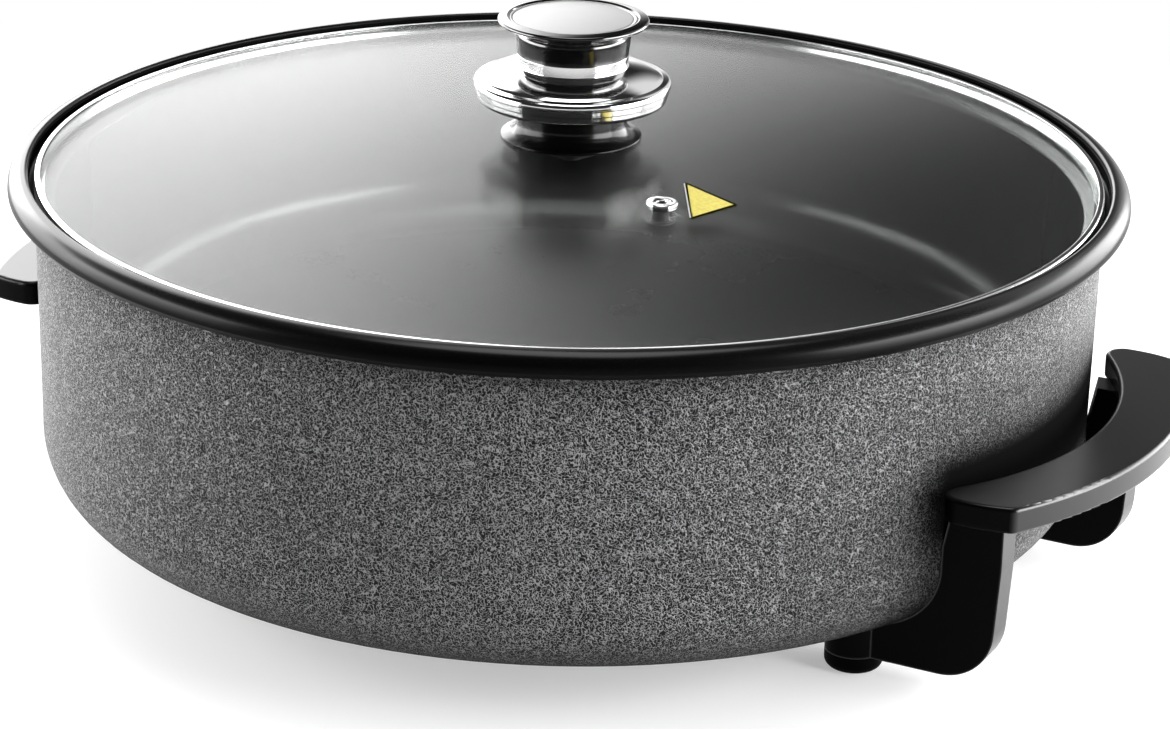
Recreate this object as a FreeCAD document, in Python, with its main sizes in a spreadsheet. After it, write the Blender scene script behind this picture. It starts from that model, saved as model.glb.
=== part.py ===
"""Electric paella pan: a double-walled round pan on four feet with a loose glass lid.

Millimetres, +Z up. The origin lies on the table under the middle of the pan, the handles
point along +X (right handle) and -X (left handle), and the power socket is under the left one.
"""
import FreeCAD
import Part
import Sketcher

import math
import os
import re

from FreeCAD import Placement, Rotation, Vector

# Driving dimensions in millimetres and degrees
SIZES = {
    # Stand and outer housing
    "stand_height": 20.5,
    "housing_radius": 200.3,
    "housing_draft": 1.4,
    "housing_corner": 26,
    "housing_sheet": 1,
    "housing_height": 117,
    "housing_flare": 3,
    "flange_inset": 2.8,
    # Inner pan with its rolled rim
    "mouth_margin": 2.3,
    "rim_width": 7.4,
    "rim_round": 6.3,
    "rim_straight": 0.8,
    "rim_skirt": 9.3,
    "skirt_inset": 1.9,
    "mouth_round": 1,
    "seat_depth": 6.3,
    "seat_angle": 27.1,
    "seat_width": 10.1,
    "pan_draft": 3.4,
    "pan_corner": 21,
    "pan_depth": 85.3,
    "pan_sheet": 2,
    # Glass lid with its steel band
    "lid_gap": 0.35,
    "band_play": 2.35,
    "band_height": 5.4,
    "band_sheet": 0.6,
    "band_lip": 2.5,
    "band_foot": 3.9,
    "band_round": 1.1,
    "glass_sheet": 4,
    "glass_margin": 2.2,
    "glass_rise": 12,
    "glass_hole_play": 0.7,
    # Steam vent
    "vent_across": 65.2,
    "vent_forward": 54.9,
    "vent_flange": 5.8,
    "vent_bore": 1.6,
    "vent_wall": 1.6,
    "vent_height": 2.8,
    "vent_edge": 0.5,
    "vent_groove": 0.5,
    "vent_groove_inset": 2.1,
    "vent_grip": 0.9,
    # Blank sticker on the glass
    "sticker_length": 38.6,
    "sticker_width": 18.4,
    "sticker_lean": 3.4,
    "sticker_round": 1,
    "sticker_film": 0.2,
    "sticker_shift": 3.9,
    "sticker_lift": 12.2,
    "sticker_turn": 29.7,
    # Lid knob
    "gasket_inset": 2.5,
    "gasket_sheet": 0.8,
    "knob_foot": 26.5,
    "knob_foot_edge": 0.9,
    "knob_foot_rise": 1,
    "knob_waist": 20.7,
    "knob_waist_round": 5.7,
    "knob_base_height": 11.7,
    "collar_sheet": 1.4,
    "saucer_radius": 37,
    "saucer_step": 0.7,
    "saucer_foot_rise": 2.7,
    "saucer_low_step_rise": 5.4,
    "saucer_high_step_rise": 7.8,
    "saucer_shoulder_inset": 3,
    "saucer_shoulder_rise": 11.3,
    "saucer_edge": 1.8,
    "saucer_crown": 21,
    "saucer_height": 16.2,
    "collar_radius": 20.9,
    "collar_height": 4.2,
    "cap_neck_flare": 1,
    "cap_neck_height": 9.3,
    "cap_neck_bow": 5.5,
    "cap_radius": 28.5,
    "cap_undercut": 2.8,
    "cap_undercut_height": 1.6,
    "cap_lip_height": 1.6,
    "cap_crown": 1.6,
    "cap_bezel_width": 4,
    "disc_inset": 0.7,
    "disc_sheet": 1,
    "disc_sink": 0.6,
    "knob_screw_radius": 2.5,
    "knob_screw_bite": 8,
    "knob_screw_head": 4.8,
    "knob_screw_head_height": 2.8,
    "seal_radius": 12,
    "seal_sheet": 1,
    "knob_washer_radius": 11,
    "knob_washer_sheet": 1.2,
    # Handles, measured outwards from the housing's wall
    "grip_level": 60,
    "grip_thickness": 9.7,
    "grip_outer_arc": 161,
    "grip_inner_arc": 129,
    "grip_end_arc": 48,
    "grip_edge": 1.6,
    "grip_tip_round": 4.5,
    "grip_heel_round": 7,
    "right_stand_off": 39.7,
    "right_finger_room": 14.7,
    "right_half_length": 83.8,
    "right_leg_middle": 66,
    "left_stand_off": 33.5,
    "left_finger_room": 11.7,
    "left_half_length": 65,
    "left_leg_middle": 45,
    "leg_thickness": 11.7,
    "leg_depth": 8.2,
    "leg_toe_inset": 2.5,
    "leg_straight_from": 30,
    "leg_corner": 20,
    "arm_depth": 13.7,
    "fit_gap": 0.1,
    "air_gap": 3.6,
    "air_gap_from": 35,
    # Feet and their screws
    "foot_inset": 48,
    "foot_radius": 10.6,
    "foot_edge": 3.5,
    "foot_recess_play": 0.5,
    "foot_recess_depth": 4.5,
    "foot_screw_radius": 2.5,
    "foot_screw_head": 4.5,
    "foot_screw_head_height": 3,
    "foot_nut_radius": 4.6,
    "foot_nut_height": 4,
    "thread_end": 1,
    # Screws from inside the wall into the legs
    "wall_screw_level": 30,
    "wall_screw_radius": 2,
    "wall_screw_head": 4,
    "wall_screw_head_height": 2.4,
    "wall_screw_bite": 10,
    "wall_screw_shift": 2,
    # Heating element and what carries it
    "spreader_margin": 28,
    "spreader_sheet": 3,
    "element_radius": 4,
    "loop_radius": 100,
    "loop_bend": 20,
    "element_overlap": 4.5,
    "pin_spacing": 28,
    "clip_width": 12,
    "clip_sheet": 1,
    "clip_foot": 7,
    "clip_gap": 0.3,
    "reflector_margin": 17,
    "reflector_gap": 8,
    "reflector_sheet": 0.8,
    "reflector_lip": 5,
    # Studs that hold pan and housing together
    "stud_circle": 60,
    "stud_radius": 2.5,
    "stud_body": 5,
    "stud_nut_radius": 4.6,
    "stud_nut_height": 4,
    # Power socket
    "socket_inset": 11.8,
    "socket_wall": 3,
    "socket_stand_out": 10.7,
    "socket_width": 50,
    "socket_height": 25,
    "socket_plate_margin": 10,
    "socket_plate_rim": 3.5,
    "socket_plate_sheet": 3,
    "socket_screw_margin": 5,
    "socket_screw_radius": 1.5,
    "socket_screw_head": 3,
    "socket_screw_head_height": 1.6,
    "bush_radius": 4.5,
    "bush_length": 12,
    "pin_shank": 2,
    "pin_radius": 2.5,
    "pin_sink": 3,
    "pin_chamfer": 0.4,
    "sleeve_radius": 4,
    "sleeve_bore": 2.6,
    "sleeve_length": 90,
    "sleeve_floor": 6,
    # Running clearance of screws, pins and tubes in their holes
    "hole_gap": 0.05,
    "bolt_gap": 0.3,
}

# Sizes that follow from those above, kept as formulas in the same sheet
LINKED = {
    "mouth_radius": "housing_radius + mouth_margin",
    "rim_radius": "mouth_radius + rim_width",
    "flange_radius": "rim_radius - flange_inset",
    "throat_radius": "mouth_radius - seat_width",
    "band_radius": "mouth_radius - band_play",
    "glass_hole": "knob_screw_radius + glass_hole_play",
    "vent_tube": "vent_bore + vent_wall",
    "vent_hole": "vent_tube + bolt_gap",
    "sticker_across": "vent_across + sticker_shift",
    "sticker_forward": "vent_forward - sticker_lift",
    "gasket_radius": "knob_foot - gasket_inset",
    "knob_core": "collar_radius - collar_sheet",
    "cap_neck": "collar_radius + cap_neck_flare",
    "cap_shoulder": "cap_radius - cap_undercut",
    "cap_shoulder_height": "cap_neck_height + cap_undercut_height",
    "cap_radius_height": "cap_shoulder_height + cap_lip_height",
    "cap_height": "cap_radius_height + cap_crown",
    "cap_bezel": "cap_radius - cap_bezel_width",
    "disc_radius": "cap_bezel - disc_inset",
    "right_reach": "housing_radius + right_stand_off",
    "right_gap_reach": "housing_radius + right_finger_room",
    "left_reach": "housing_radius + left_stand_off",
    "left_gap_reach": "housing_radius + left_finger_room",
    "leg_reach": "housing_radius + leg_depth",
    "leg_toe": "leg_reach - leg_toe_inset",
    "foot_middle": "housing_radius - foot_inset",
    "foot_recess": "foot_screw_head + foot_recess_play",
    "spreader_radius": "loop_radius + spreader_margin",
    "reflector_radius": "spreader_radius + reflector_margin",
    "socket_back": "housing_radius - socket_inset",
    "socket_mouth": "housing_radius + socket_stand_out",
    "socket_screw_spacing": "socket_width + 2 * socket_screw_margin",
    "socket_plate_width": "socket_screw_spacing + socket_plate_margin",
    "socket_plate_height": "socket_height + 2 * socket_plate_rim",
    "element_end": "socket_back - element_overlap",
    "bush_end": "element_end + bush_length",
    "pin_tip": "socket_mouth - pin_sink",
    "sleeve_end": "bush_end - sleeve_length",
    "sleeve_bore_end": "sleeve_end + sleeve_floor",
}

STUD_COUNT = 4
CLIP_COUNT = 3
NUT_SIDE_COUNT = 6
STICKER_CORNER_COUNT = 3
FULL_TURN = 360
SIDES = (("front", -1), ("back", 1))

# Heights above the table and other values worked out from the driving dimensions
UNDERSIDE = "stand_height"
SKIRT_EDGE = "(stand_height + housing_height)"
RIM_TOP = f"({SKIRT_EDGE} + rim_skirt)"
SEAT_TOP = f"({RIM_TOP} - seat_depth)"
THROAT = f"({SEAT_TOP} - (mouth_radius - throat_radius) * tan(seat_angle))"
SEAT_SHEET = "(pan_sheet / cos(seat_angle) - pan_sheet * tan(seat_angle))"
PAN_FLOOR = f"({RIM_TOP} - pan_depth)"
PAN_UNDER = f"({PAN_FLOOR} - pan_sheet)"
BAND_FOOT = f"({SEAT_TOP} - (mouth_radius - band_radius) * tan(seat_angle) + lid_gap)"
GLASS_EDGE = "(band_radius - band_sheet)"
GLASS_EDGE_UNDER = f"({BAND_FOOT} + band_sheet)"
GLASS_EDGE_TOP = f"({GLASS_EDGE_UNDER} + glass_sheet)"
GLASS_DOME = f"({GLASS_EDGE} - glass_margin)"
DOME_RADIUS = f"(({GLASS_DOME} ^ 2 + glass_rise ^ 2) / (2 * glass_rise))"
GLASS_TOP = f"({GLASS_EDGE_TOP} + glass_rise)"
GLASS_UNDER = f"({GLASS_TOP} - glass_sheet)"
KNOB_SHOULDER = f"({GLASS_TOP} + knob_base_height)"
COLLAR_TOP = f"({KNOB_SHOULDER} + saucer_height + collar_height)"
CAP_TOP = f"({COLLAR_TOP} + cap_height)"
DISC_FLOOR = f"({CAP_TOP} - disc_sink - disc_sheet)"
GRIP_TOP = "(stand_height + grip_level)"
GRIP_UNDER = f"({GRIP_TOP} - grip_thickness)"
ARM_UNDER = "(stand_height - arm_depth)"
SPREADER_UNDER = f"({PAN_UNDER} - spreader_sheet)"
ELEMENT_LEVEL = f"({SPREADER_UNDER} - element_radius)"
REFLECTOR = f"({ELEMENT_LEVEL} - element_radius - reflector_gap)"


def tie(text):
    """Expression text with every size named as a cell of the sheet."""
    def cell(word):
        known = word.group() in SIZES or word.group() in LINKED
        return "Sizes." + word.group() if known else word.group()
    return re.sub(r"[a-z_]+", cell, text)


def new_document():
    document = FreeCAD.newDocument("paella_pan")
    sheet = document.addObject("Spreadsheet::Sheet", "Sizes")
    formulas = {word: "=" + formula for word, formula in LINKED.items()}
    for row, (word, content) in enumerate({**SIZES, **formulas}.items(), start=1):
        sheet.set("A" + str(row), word)
        sheet.set("B" + str(row), str(content))
        sheet.setAlias("B" + str(row), word)
    document.recompute()
    return document


DOC = new_document()
PARTS = []


def value(text):
    """Number that an expression in the sheet's words gives."""
    result = DOC.getObject("Sizes").evalExpression(tie(text))
    return float(getattr(result, "Value", result))


def bind(item, **texts):
    """Ties properties of an object to expressions."""
    for name, text in texts.items():
        item.setExpression(name, tie(text))


def place(item, x="0", y="0", z="0", rotation=None):
    """Puts an object at a point given by expressions, turned by a fixed rotation."""
    if rotation:
        item.Placement = Placement(Vector(0, 0, 0), rotation)
    for axis, text in (("x", x), ("y", y), ("z", z)):
        item.setExpression("Placement.Base." + axis, tie(text))
    return item


def sub_part(item, label):
    """Marks an object as one finished sub-part."""
    item.Label = label
    PARTS.append(item)
    return item


def new_body(name):
    body = DOC.addObject("PartDesign::Body", name)
    body.AllowCompound = True
    return body


def origin_plane(body, role):
    for feature in body.Origin.OriginFeatures:
        if feature.Role == role:
            return feature
    raise ValueError("no plane " + role)


def new_sketch(body, name, role="XZ_Plane", lift=None):
    """Empty sketch on one of the body's own origin planes, lifted along the plane's normal."""
    sketch = body.newObject("Sketcher::SketchObject", name)
    sketch.AttachmentSupport = [(origin_plane(body, role), "")]
    sketch.MapMode = "FlatFace"
    if lift:
        sketch.setExpression("AttachmentOffset.Base.z", tie(lift))
    return sketch


def pin_coordinate(sketch, kind, geometry, end, text):
    """Fixes one coordinate of a sketch point to an expression."""
    number = value(text)
    if abs(number) < 1e-9:
        axis = -2 if kind == "DistanceX" else -1
        sketch.addConstraint(Sketcher.Constraint("PointOnObject", geometry, end, axis))
        return
    if number > 0:
        rule = Sketcher.Constraint(kind, -1, 1, geometry, end, number)
    else:
        rule = Sketcher.Constraint(kind, geometry, end, -1, 1, -number)
        text = "-(" + text + ")"
    index = sketch.addConstraint(rule)
    sketch.setExpression("Constraints[" + str(index) + "]", tie(text))


def pin_point(sketch, geometry, end, x, y):
    pin_coordinate(sketch, "DistanceX", geometry, end, x)
    pin_coordinate(sketch, "DistanceY", geometry, end, y)


def corner_round(before, corner, after, radius):
    """Tangent points, centre and turn of a rounded corner."""
    back = (before - corner).normalize()
    ahead = (after - corner).normalize()
    half = back.getAngle(ahead) / 2
    reach = radius / math.tan(half)
    middle = (back + ahead).normalize()
    centre = corner + middle * (radius / math.sin(half))
    turn = back.cross(ahead).z
    return corner + back * reach, corner + ahead * reach, centre, turn


def arc_between(start, end, centre, left):
    """Arc round a centre from start to end, drawn counter-clockwise as sketches need it."""
    first, last = (start, end) if left else (end, start)
    radius = (start - centre).Length
    circle = Part.Circle(centre, Vector(0, 0, 1), radius)
    return Part.ArcOfCircle(circle, circle.parameter(first), circle.parameter(last))


def draw_outline(sketch, corners):
    """Closed outline through corners (x, y), rounded ones (x, y, radius), and ones that are
    left by an arc (x, y, "arc", radius, left), which turns to the left or else to the right."""
    spots = [Vector(value(c[0]), value(c[1]), 0) for c in corners]
    count = len(corners)
    rounded = {i: c[2] for i, c in enumerate(corners) if len(c) == 3}
    exits = [(spot, spot) for spot in spots]
    arcs = {}
    for i, text in rounded.items():
        first, last, centre, turn = corner_round(
            spots[i - 1], spots[i], spots[(i + 1) % count], value(text))
        exits[i] = (first, last)
        arcs[i] = (first, last, centre, turn < 0)
    edges = []
    for i, corner in enumerate(corners):
        start = exits[i][1]
        end = exits[(i + 1) % count][0]
        if len(corner) == 5:
            edges.append(draw_arc(sketch, start, end, corner[3], corner[4]))
        else:
            edges.append((sketch.addGeometry(Part.LineSegment(start, end)), 1, 2))
    for i, corner in enumerate(corners):
        before, after = edges[i - 1], edges[i]
        if i in arcs:
            round_corner(sketch, before, after, arcs[i], corner)
        else:
            joint = Sketcher.Constraint("Coincident", before[0], before[2], after[0], after[1])
            sketch.addConstraint(joint)
            pin_point(sketch, after[0], after[1], corner[0], corner[1])


def draw_arc(sketch, start, end, radius, left):
    """Arc of under a half turn from start to end, with its entry and exit ends."""
    chord = end - start
    side = Vector(-chord.y, chord.x, 0).normalize() * (1 if left else -1)
    height = math.sqrt(value(radius) ** 2 - (chord.Length / 2) ** 2)
    centre = (start + end) * 0.5 + side * height
    index = sketch.addGeometry(arc_between(start, end, centre, left))
    rule = sketch.addConstraint(Sketcher.Constraint("Radius", index, value(radius)))
    sketch.setExpression("Constraints[" + str(rule) + "]", tie(radius))
    return (index, 1, 2) if left else (index, 2, 1)


def round_corner(sketch, before, after, arc, corner):
    first, last, centre, left = arc
    index = sketch.addGeometry(arc_between(first, last, centre, left))
    entry, leave = (1, 2) if left else (2, 1)
    point = sketch.addGeometry(Part.Point(Vector(value(corner[0]), value(corner[1]), 0)), True)
    sketch.addConstraint(Sketcher.Constraint("Tangent", before[0], before[2], index, entry))
    sketch.addConstraint(Sketcher.Constraint("Tangent", after[0], after[1], index, leave))
    sketch.addConstraint(Sketcher.Constraint("PointOnObject", point, 1, before[0]))
    sketch.addConstraint(Sketcher.Constraint("PointOnObject", point, 1, after[0]))
    pin_point(sketch, point, 1, corner[0], corner[1])
    radius = sketch.addConstraint(
        Sketcher.Constraint("Radius", index, (first - centre).Length))
    sketch.setExpression("Constraints[" + str(radius) + "]", tie(corner[2]))


def draw_circle(sketch, radius, x="0", y="0"):
    circle = Part.Circle(Vector(value(x), value(y), 0), Vector(0, 0, 1), value(radius))
    index = sketch.addGeometry(circle)
    pin_point(sketch, index, 3, x, y)
    rule = sketch.addConstraint(Sketcher.Constraint("Radius", index, value(radius)))
    sketch.setExpression("Constraints[" + str(rule) + "]", tie(radius))


def turned(body, name, corners, kind="PartDesign::Revolution"):
    """Solid of revolution (or groove) about the upright axis of the body."""
    sketch = new_sketch(body, name + "_profile")
    draw_outline(sketch, corners)
    feature = body.newObject(kind, name)
    feature.Profile = sketch
    feature.ReferenceAxis = (sketch, ["V_Axis"])
    feature.Angle = FULL_TURN
    DOC.recompute()
    return feature


def turned_part(label, corners):
    body = new_body(label)
    turned(body, label + "_turned", corners)
    return sub_part(body, label)


def padded(body, name, sketch, length, reverse=False):
    feature = body.newObject("PartDesign::Pad", name)
    feature.Profile = sketch
    bind(feature, Length=length)
    feature.Reversed = reverse
    DOC.recompute()
    return feature


def drilled(body, name, radius, depth, x, y, z, rotation=None):
    """Round hole along the feature's own upward axis, from the point given."""
    hole = body.newObject("PartDesign::SubtractiveCylinder", name)
    hole.AttachmentSupport = [(origin_plane(body, "XY_Plane"), "")]
    hole.MapMode = "FlatFace"
    bind(hole, Radius=radius, Height=depth)
    if rotation:
        hole.AttachmentOffset = Placement(Vector(0, 0, 0), rotation)
    for axis, text in (("x", x), ("y", y), ("z", z)):
        hole.setExpression("AttachmentOffset.Base." + axis, tie(text))
    before = body.Shape.Volume
    DOC.recompute()
    if body.Shape.Volume >= before:
        raise ValueError(name + " cuts nothing")
    return hole


def softened(body, name, radius, chosen):
    """Fillet on the edges of the body's tip that the test picks."""
    base = body.Tip
    names = ["Edge" + str(i) for i, e in enumerate(base.Shape.Edges, start=1) if chosen(e)]
    if not names:
        raise ValueError(name + " finds no edge")
    fillet = body.newObject("PartDesign::Fillet", name)
    fillet.Base = (base, names)
    bind(fillet, Radius=radius)
    DOC.recompute()
    return fillet


def cylinder(name, radius, height, x="0", y="0", z="0", rotation=None):
    rod = DOC.addObject("Part::Cylinder", name)
    bind(rod, Radius=radius, Height=height)
    return place(rod, x, y, z, rotation)


def block(name, length, width, height, x, y, z):
    box = DOC.addObject("Part::Box", name)
    bind(box, Length=length, Width=width, Height=height)
    return place(box, x, y, z)


def hexagon(name, radius, height, x, y, z):
    prism = DOC.addObject("Part::Prism", name)
    prism.Polygon = NUT_SIDE_COUNT
    bind(prism, Circumradius=radius, Height=height)
    return place(prism, x, y, z)


def fused(name, pieces):
    whole = DOC.addObject("Part::MultiFuse", name)
    whole.Shapes = pieces
    return whole


def cut(name, base, tools):
    tool = tools[0] if len(tools) == 1 else fused(name + "_tools", tools)
    result = DOC.addObject("Part::Cut", name)
    result.Base = base
    result.Tool = tool
    return result


def grouped(label, pieces):
    """Like pieces that share one node as separate solids."""
    group = DOC.addObject("Part::Compound", label + "_group")
    group.Links = pieces
    return sub_part(group, label)


def stud_spots():
    """Where the studs stand, as expressions in x and y."""
    for number in range(STUD_COUNT):
        angle = FULL_TURN * (number + 0.5) / STUD_COUNT
        yield number, "stud_circle * cos(%g)" % angle, "stud_circle * sin(%g)" % angle


def foot_spots():
    """Name and middle of each foot; the right ones stand wider apart."""
    for side, sign in SIDES:
        yield side + "_right", "foot_middle", "%d * right_leg_middle" % sign
        yield side + "_left", "-foot_middle", "%d * left_leg_middle" % sign


def wall_screw_spots():
    """Name, heading in degrees and side of each screw from the wall into a leg."""
    for end, facing in (("right", 0), ("left", 180)):
        for side, sign in SIDES:
            across = "(%s_leg_middle - wall_screw_shift)" % end
            swing = math.degrees(math.asin(value(across) / value("housing_radius")))
            heading = sign * swing if end == "right" else facing - sign * swing
            yield side + "_" + end, heading


def housing_radius_at(level):
    """Outer radius of the housing's wall at a level above its underside, as an expression."""
    return "(housing_radius - housing_draft * (1 - (%s) / housing_height))" % level


def outer_housing():
    body = new_body("outer_housing")
    low = "housing_radius - housing_draft"
    mitre = "housing_sheet * tan(22.5)"
    turned(body, "housing_shell", [
        ("0", UNDERSIDE),
        (low, UNDERSIDE, "housing_corner"),
        ("housing_radius", SKIRT_EDGE + " - housing_sheet - housing_flare"),
        ("housing_radius + housing_flare", SKIRT_EDGE + " - housing_sheet"),
        ("flange_radius", SKIRT_EDGE + " - housing_sheet"),
        ("flange_radius", SKIRT_EDGE),
        ("housing_radius + housing_flare - " + mitre, SKIRT_EDGE),
        ("housing_radius - housing_sheet", SKIRT_EDGE + " - housing_flare - housing_sheet + " + mitre),
        (low + " - housing_sheet", UNDERSIDE + " + housing_sheet",
         "housing_corner - housing_sheet"),
        ("0", UNDERSIDE + " + housing_sheet"),
    ])
    through = "housing_sheet * 3"
    below = UNDERSIDE + " - housing_sheet"
    for name, x, y in foot_spots():
        drilled(body, "foot_hole_" + name, "foot_screw_radius + bolt_gap", through, x, y, below)
    for number, x, y in stud_spots():
        drilled(body, "stud_hole_%d" % number, "stud_radius + bolt_gap", through, x, y, below)
    for name, heading in wall_screw_spots():
        outward = radial(heading)
        start = "(%s - housing_sheet * 3)" % housing_radius_at("wall_screw_level")
        drilled(body, "wall_hole_" + name, "wall_screw_radius + bolt_gap", "housing_sheet * 5",
                along(start, heading, "cos"), along(start, heading, "sin"),
                UNDERSIDE + " + wall_screw_level", outward)
    for side, sign in SIDES:
        drilled(body, "socket_hole_" + side, "socket_screw_radius + bolt_gap",
                "housing_sheet * 9", "-(housing_radius - housing_sheet * 7)",
                "%d * socket_screw_spacing / 2" % sign, ELEMENT_LEVEL, facing_left())
    window = new_sketch(body, "socket_window_sketch", "YZ_Plane")
    half_width = "(socket_width / 2 + bolt_gap)"
    half_height = "(socket_height / 2 + bolt_gap)"
    draw_outline(window, [
        ("-" + half_width, ELEMENT_LEVEL + " - " + half_height),
        (half_width, ELEMENT_LEVEL + " - " + half_height),
        (half_width, ELEMENT_LEVEL + " + " + half_height),
        ("-" + half_width, ELEMENT_LEVEL + " + " + half_height),
    ])
    pocket = body.newObject("PartDesign::Pocket", "socket_window")
    pocket.Profile = window
    bind(pocket, Length="housing_radius * 1.1")
    DOC.recompute()
    if middle_of(body).x < 0:
        pocket.Reversed = True
        DOC.recompute()
    if middle_of(body).x <= 0:
        raise ValueError("the socket window isn't cut on the left")
    return sub_part(body, "outer_housing")


def middle_of(body):
    return body.Shape.Solids[0].CenterOfMass


def radial(heading):
    """Turns the upward axis to a level heading, in degrees from +X."""
    return Rotation(Vector(0, 0, 1), heading).multiply(Rotation(Vector(0, 1, 0), 90))


def facing_left():
    return radial(180)


def along(distance, heading, function):
    return "%s * %s(%.9g)" % (distance, function, heading)


def inner_pan():
    return turned_part("inner_pan", [
        ("0", PAN_FLOOR),
        ("throat_radius - pan_draft", PAN_FLOOR, "pan_corner"),
        ("throat_radius", THROAT),
        ("mouth_radius", SEAT_TOP),
        ("mouth_radius", RIM_TOP, "mouth_round"),
        ("rim_radius", RIM_TOP, "rim_round"),
        ("rim_radius", RIM_TOP + " - rim_round - rim_straight"),
        ("rim_radius - skirt_inset", SKIRT_EDGE),
        ("rim_radius - skirt_inset - pan_sheet", SKIRT_EDGE),
        ("rim_radius - pan_sheet", RIM_TOP + " - pan_sheet", "rim_round - pan_sheet"),
        ("mouth_radius + pan_sheet", RIM_TOP + " - pan_sheet"),
        ("mouth_radius + pan_sheet", SEAT_TOP + " - " + SEAT_SHEET),
        ("throat_radius + pan_sheet", THROAT + " - " + SEAT_SHEET),
        ("throat_radius - pan_draft + pan_sheet", PAN_UNDER, "pan_corner + pan_sheet"),
        ("0", PAN_UNDER),
    ])


def lid_glass():
    body = new_body("lid_glass")
    turned(body, "glass_dome", [
        ("glass_hole", GLASS_UNDER + " - " + sag("glass_hole")),
        ("glass_hole", GLASS_TOP + " - " + sag("glass_hole"), "arc", DOME_RADIUS, False),
        (GLASS_DOME, GLASS_EDGE_TOP),
        (GLASS_EDGE, GLASS_EDGE_TOP),
        (GLASS_EDGE, GLASS_EDGE_UNDER),
        (GLASS_DOME, GLASS_EDGE_UNDER, "arc", DOME_RADIUS, True),
    ])
    drilled(body, "vent_opening", "vent_hole", "glass_sheet * 3",
            "vent_across", "-vent_forward", GLASS_UNDER + " - glass_sheet")
    return sub_part(body, "lid_glass")


def sag(distance):
    """How far the dome drops below its top at a distance from the middle."""
    return "(%s - sqrt(%s ^ 2 - (%s) ^ 2))" % (DOME_RADIUS, DOME_RADIUS, distance)


def lid_band():
    return turned_part("lid_band", [
        ("band_radius - band_foot", BAND_FOOT),
        ("band_radius", BAND_FOOT),
        ("band_radius", BAND_FOOT + " + band_height", "band_round"),
        ("band_radius - band_lip", BAND_FOOT + " + band_height"),
        ("band_radius - band_lip", GLASS_EDGE_TOP),
        (GLASS_EDGE, GLASS_EDGE_TOP),
        (GLASS_EDGE, GLASS_EDGE_UNDER),
        ("band_radius - band_foot", GLASS_EDGE_UNDER),
    ])


def steam_vent():
    seat = "(%s - %s)" % (GLASS_TOP, sag("sqrt(vent_across ^ 2 + vent_forward ^ 2)"))
    body = new_body("steam_vent")
    above = seat + " + lid_gap"
    top = seat + " + vent_height"
    groove = "vent_flange - vent_groove_inset"
    below = seat + " - glass_sheet - lid_gap"
    turned(body, "vent_eyelet", [
        ("vent_bore", below + " - vent_grip"),
        ("vent_flange - vent_grip", below + " - vent_grip"),
        ("vent_flange - vent_grip", below),
        ("vent_tube", below),
        ("vent_tube", above),
        ("vent_flange", above),
        ("vent_flange", top, "vent_edge"),
        (groove + " + vent_groove / 2", top),
        (groove, top + " - vent_groove / 2"),
        (groove + " - vent_groove / 2", top),
        ("vent_bore", top),
    ])
    place(body, "vent_across", "-vent_forward")
    return sub_part(body, "steam_vent")


def lid_sticker():
    """Blank three-cornered film that lies on the dome beside the vent."""
    body = new_body("lid_sticker")
    sketch = new_sketch(body, "sticker_outline", "XY_Plane")
    draw_outline(sketch, [
        ("0", "-sticker_length / 2", "sticker_round"),
        ("sticker_width", "-sticker_lean", "sticker_round"),
        ("0", "sticker_length / 2", "sticker_round"),
    ])
    padded(body, "sticker_film_pad", sketch, "sticker_film")
    distance = "sqrt(sticker_across ^ 2 + sticker_forward ^ 2)"
    heading = math.degrees(math.atan2(-value("sticker_forward"), value("sticker_across")))
    tilt = math.degrees(math.asin(value(distance) / value(DOME_RADIUS)))
    lean = Rotation(Vector(0, 0, 1), heading).multiply(Rotation(Vector(0, 1, 0), tilt))
    turn = lean.multiply(Rotation(Vector(0, 0, 1), value("sticker_turn") - heading))
    place(body, "sticker_across", "-sticker_forward",
          "%s - %s + lid_gap / 3" % (GLASS_TOP, sag(distance)), turn)
    return sub_part(body, "lid_sticker")


def knob_gasket():
    return turned_part("knob_gasket", [
        ("glass_hole", GLASS_TOP),
        ("gasket_radius", GLASS_TOP),
        ("gasket_radius", GLASS_TOP + " + gasket_sheet"),
        ("glass_hole", GLASS_TOP + " + gasket_sheet"),
    ])


def knob_base():
    shaft = "knob_screw_radius + bolt_gap"
    return turned_part("knob_base", [
        (shaft, GLASS_TOP + " + gasket_sheet"),
        ("gasket_radius + bolt_gap", GLASS_TOP + " + gasket_sheet"),
        ("gasket_radius + bolt_gap", GLASS_TOP),
        ("knob_foot", GLASS_TOP),
        ("knob_foot", GLASS_TOP + " + knob_foot_edge"),
        ("knob_waist", GLASS_TOP + " + knob_foot_edge + knob_foot_rise", "knob_waist_round"),
        ("knob_waist", KNOB_SHOULDER),
        ("knob_core", KNOB_SHOULDER),
        ("knob_core", COLLAR_TOP),
        (shaft, COLLAR_TOP),
    ])


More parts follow.
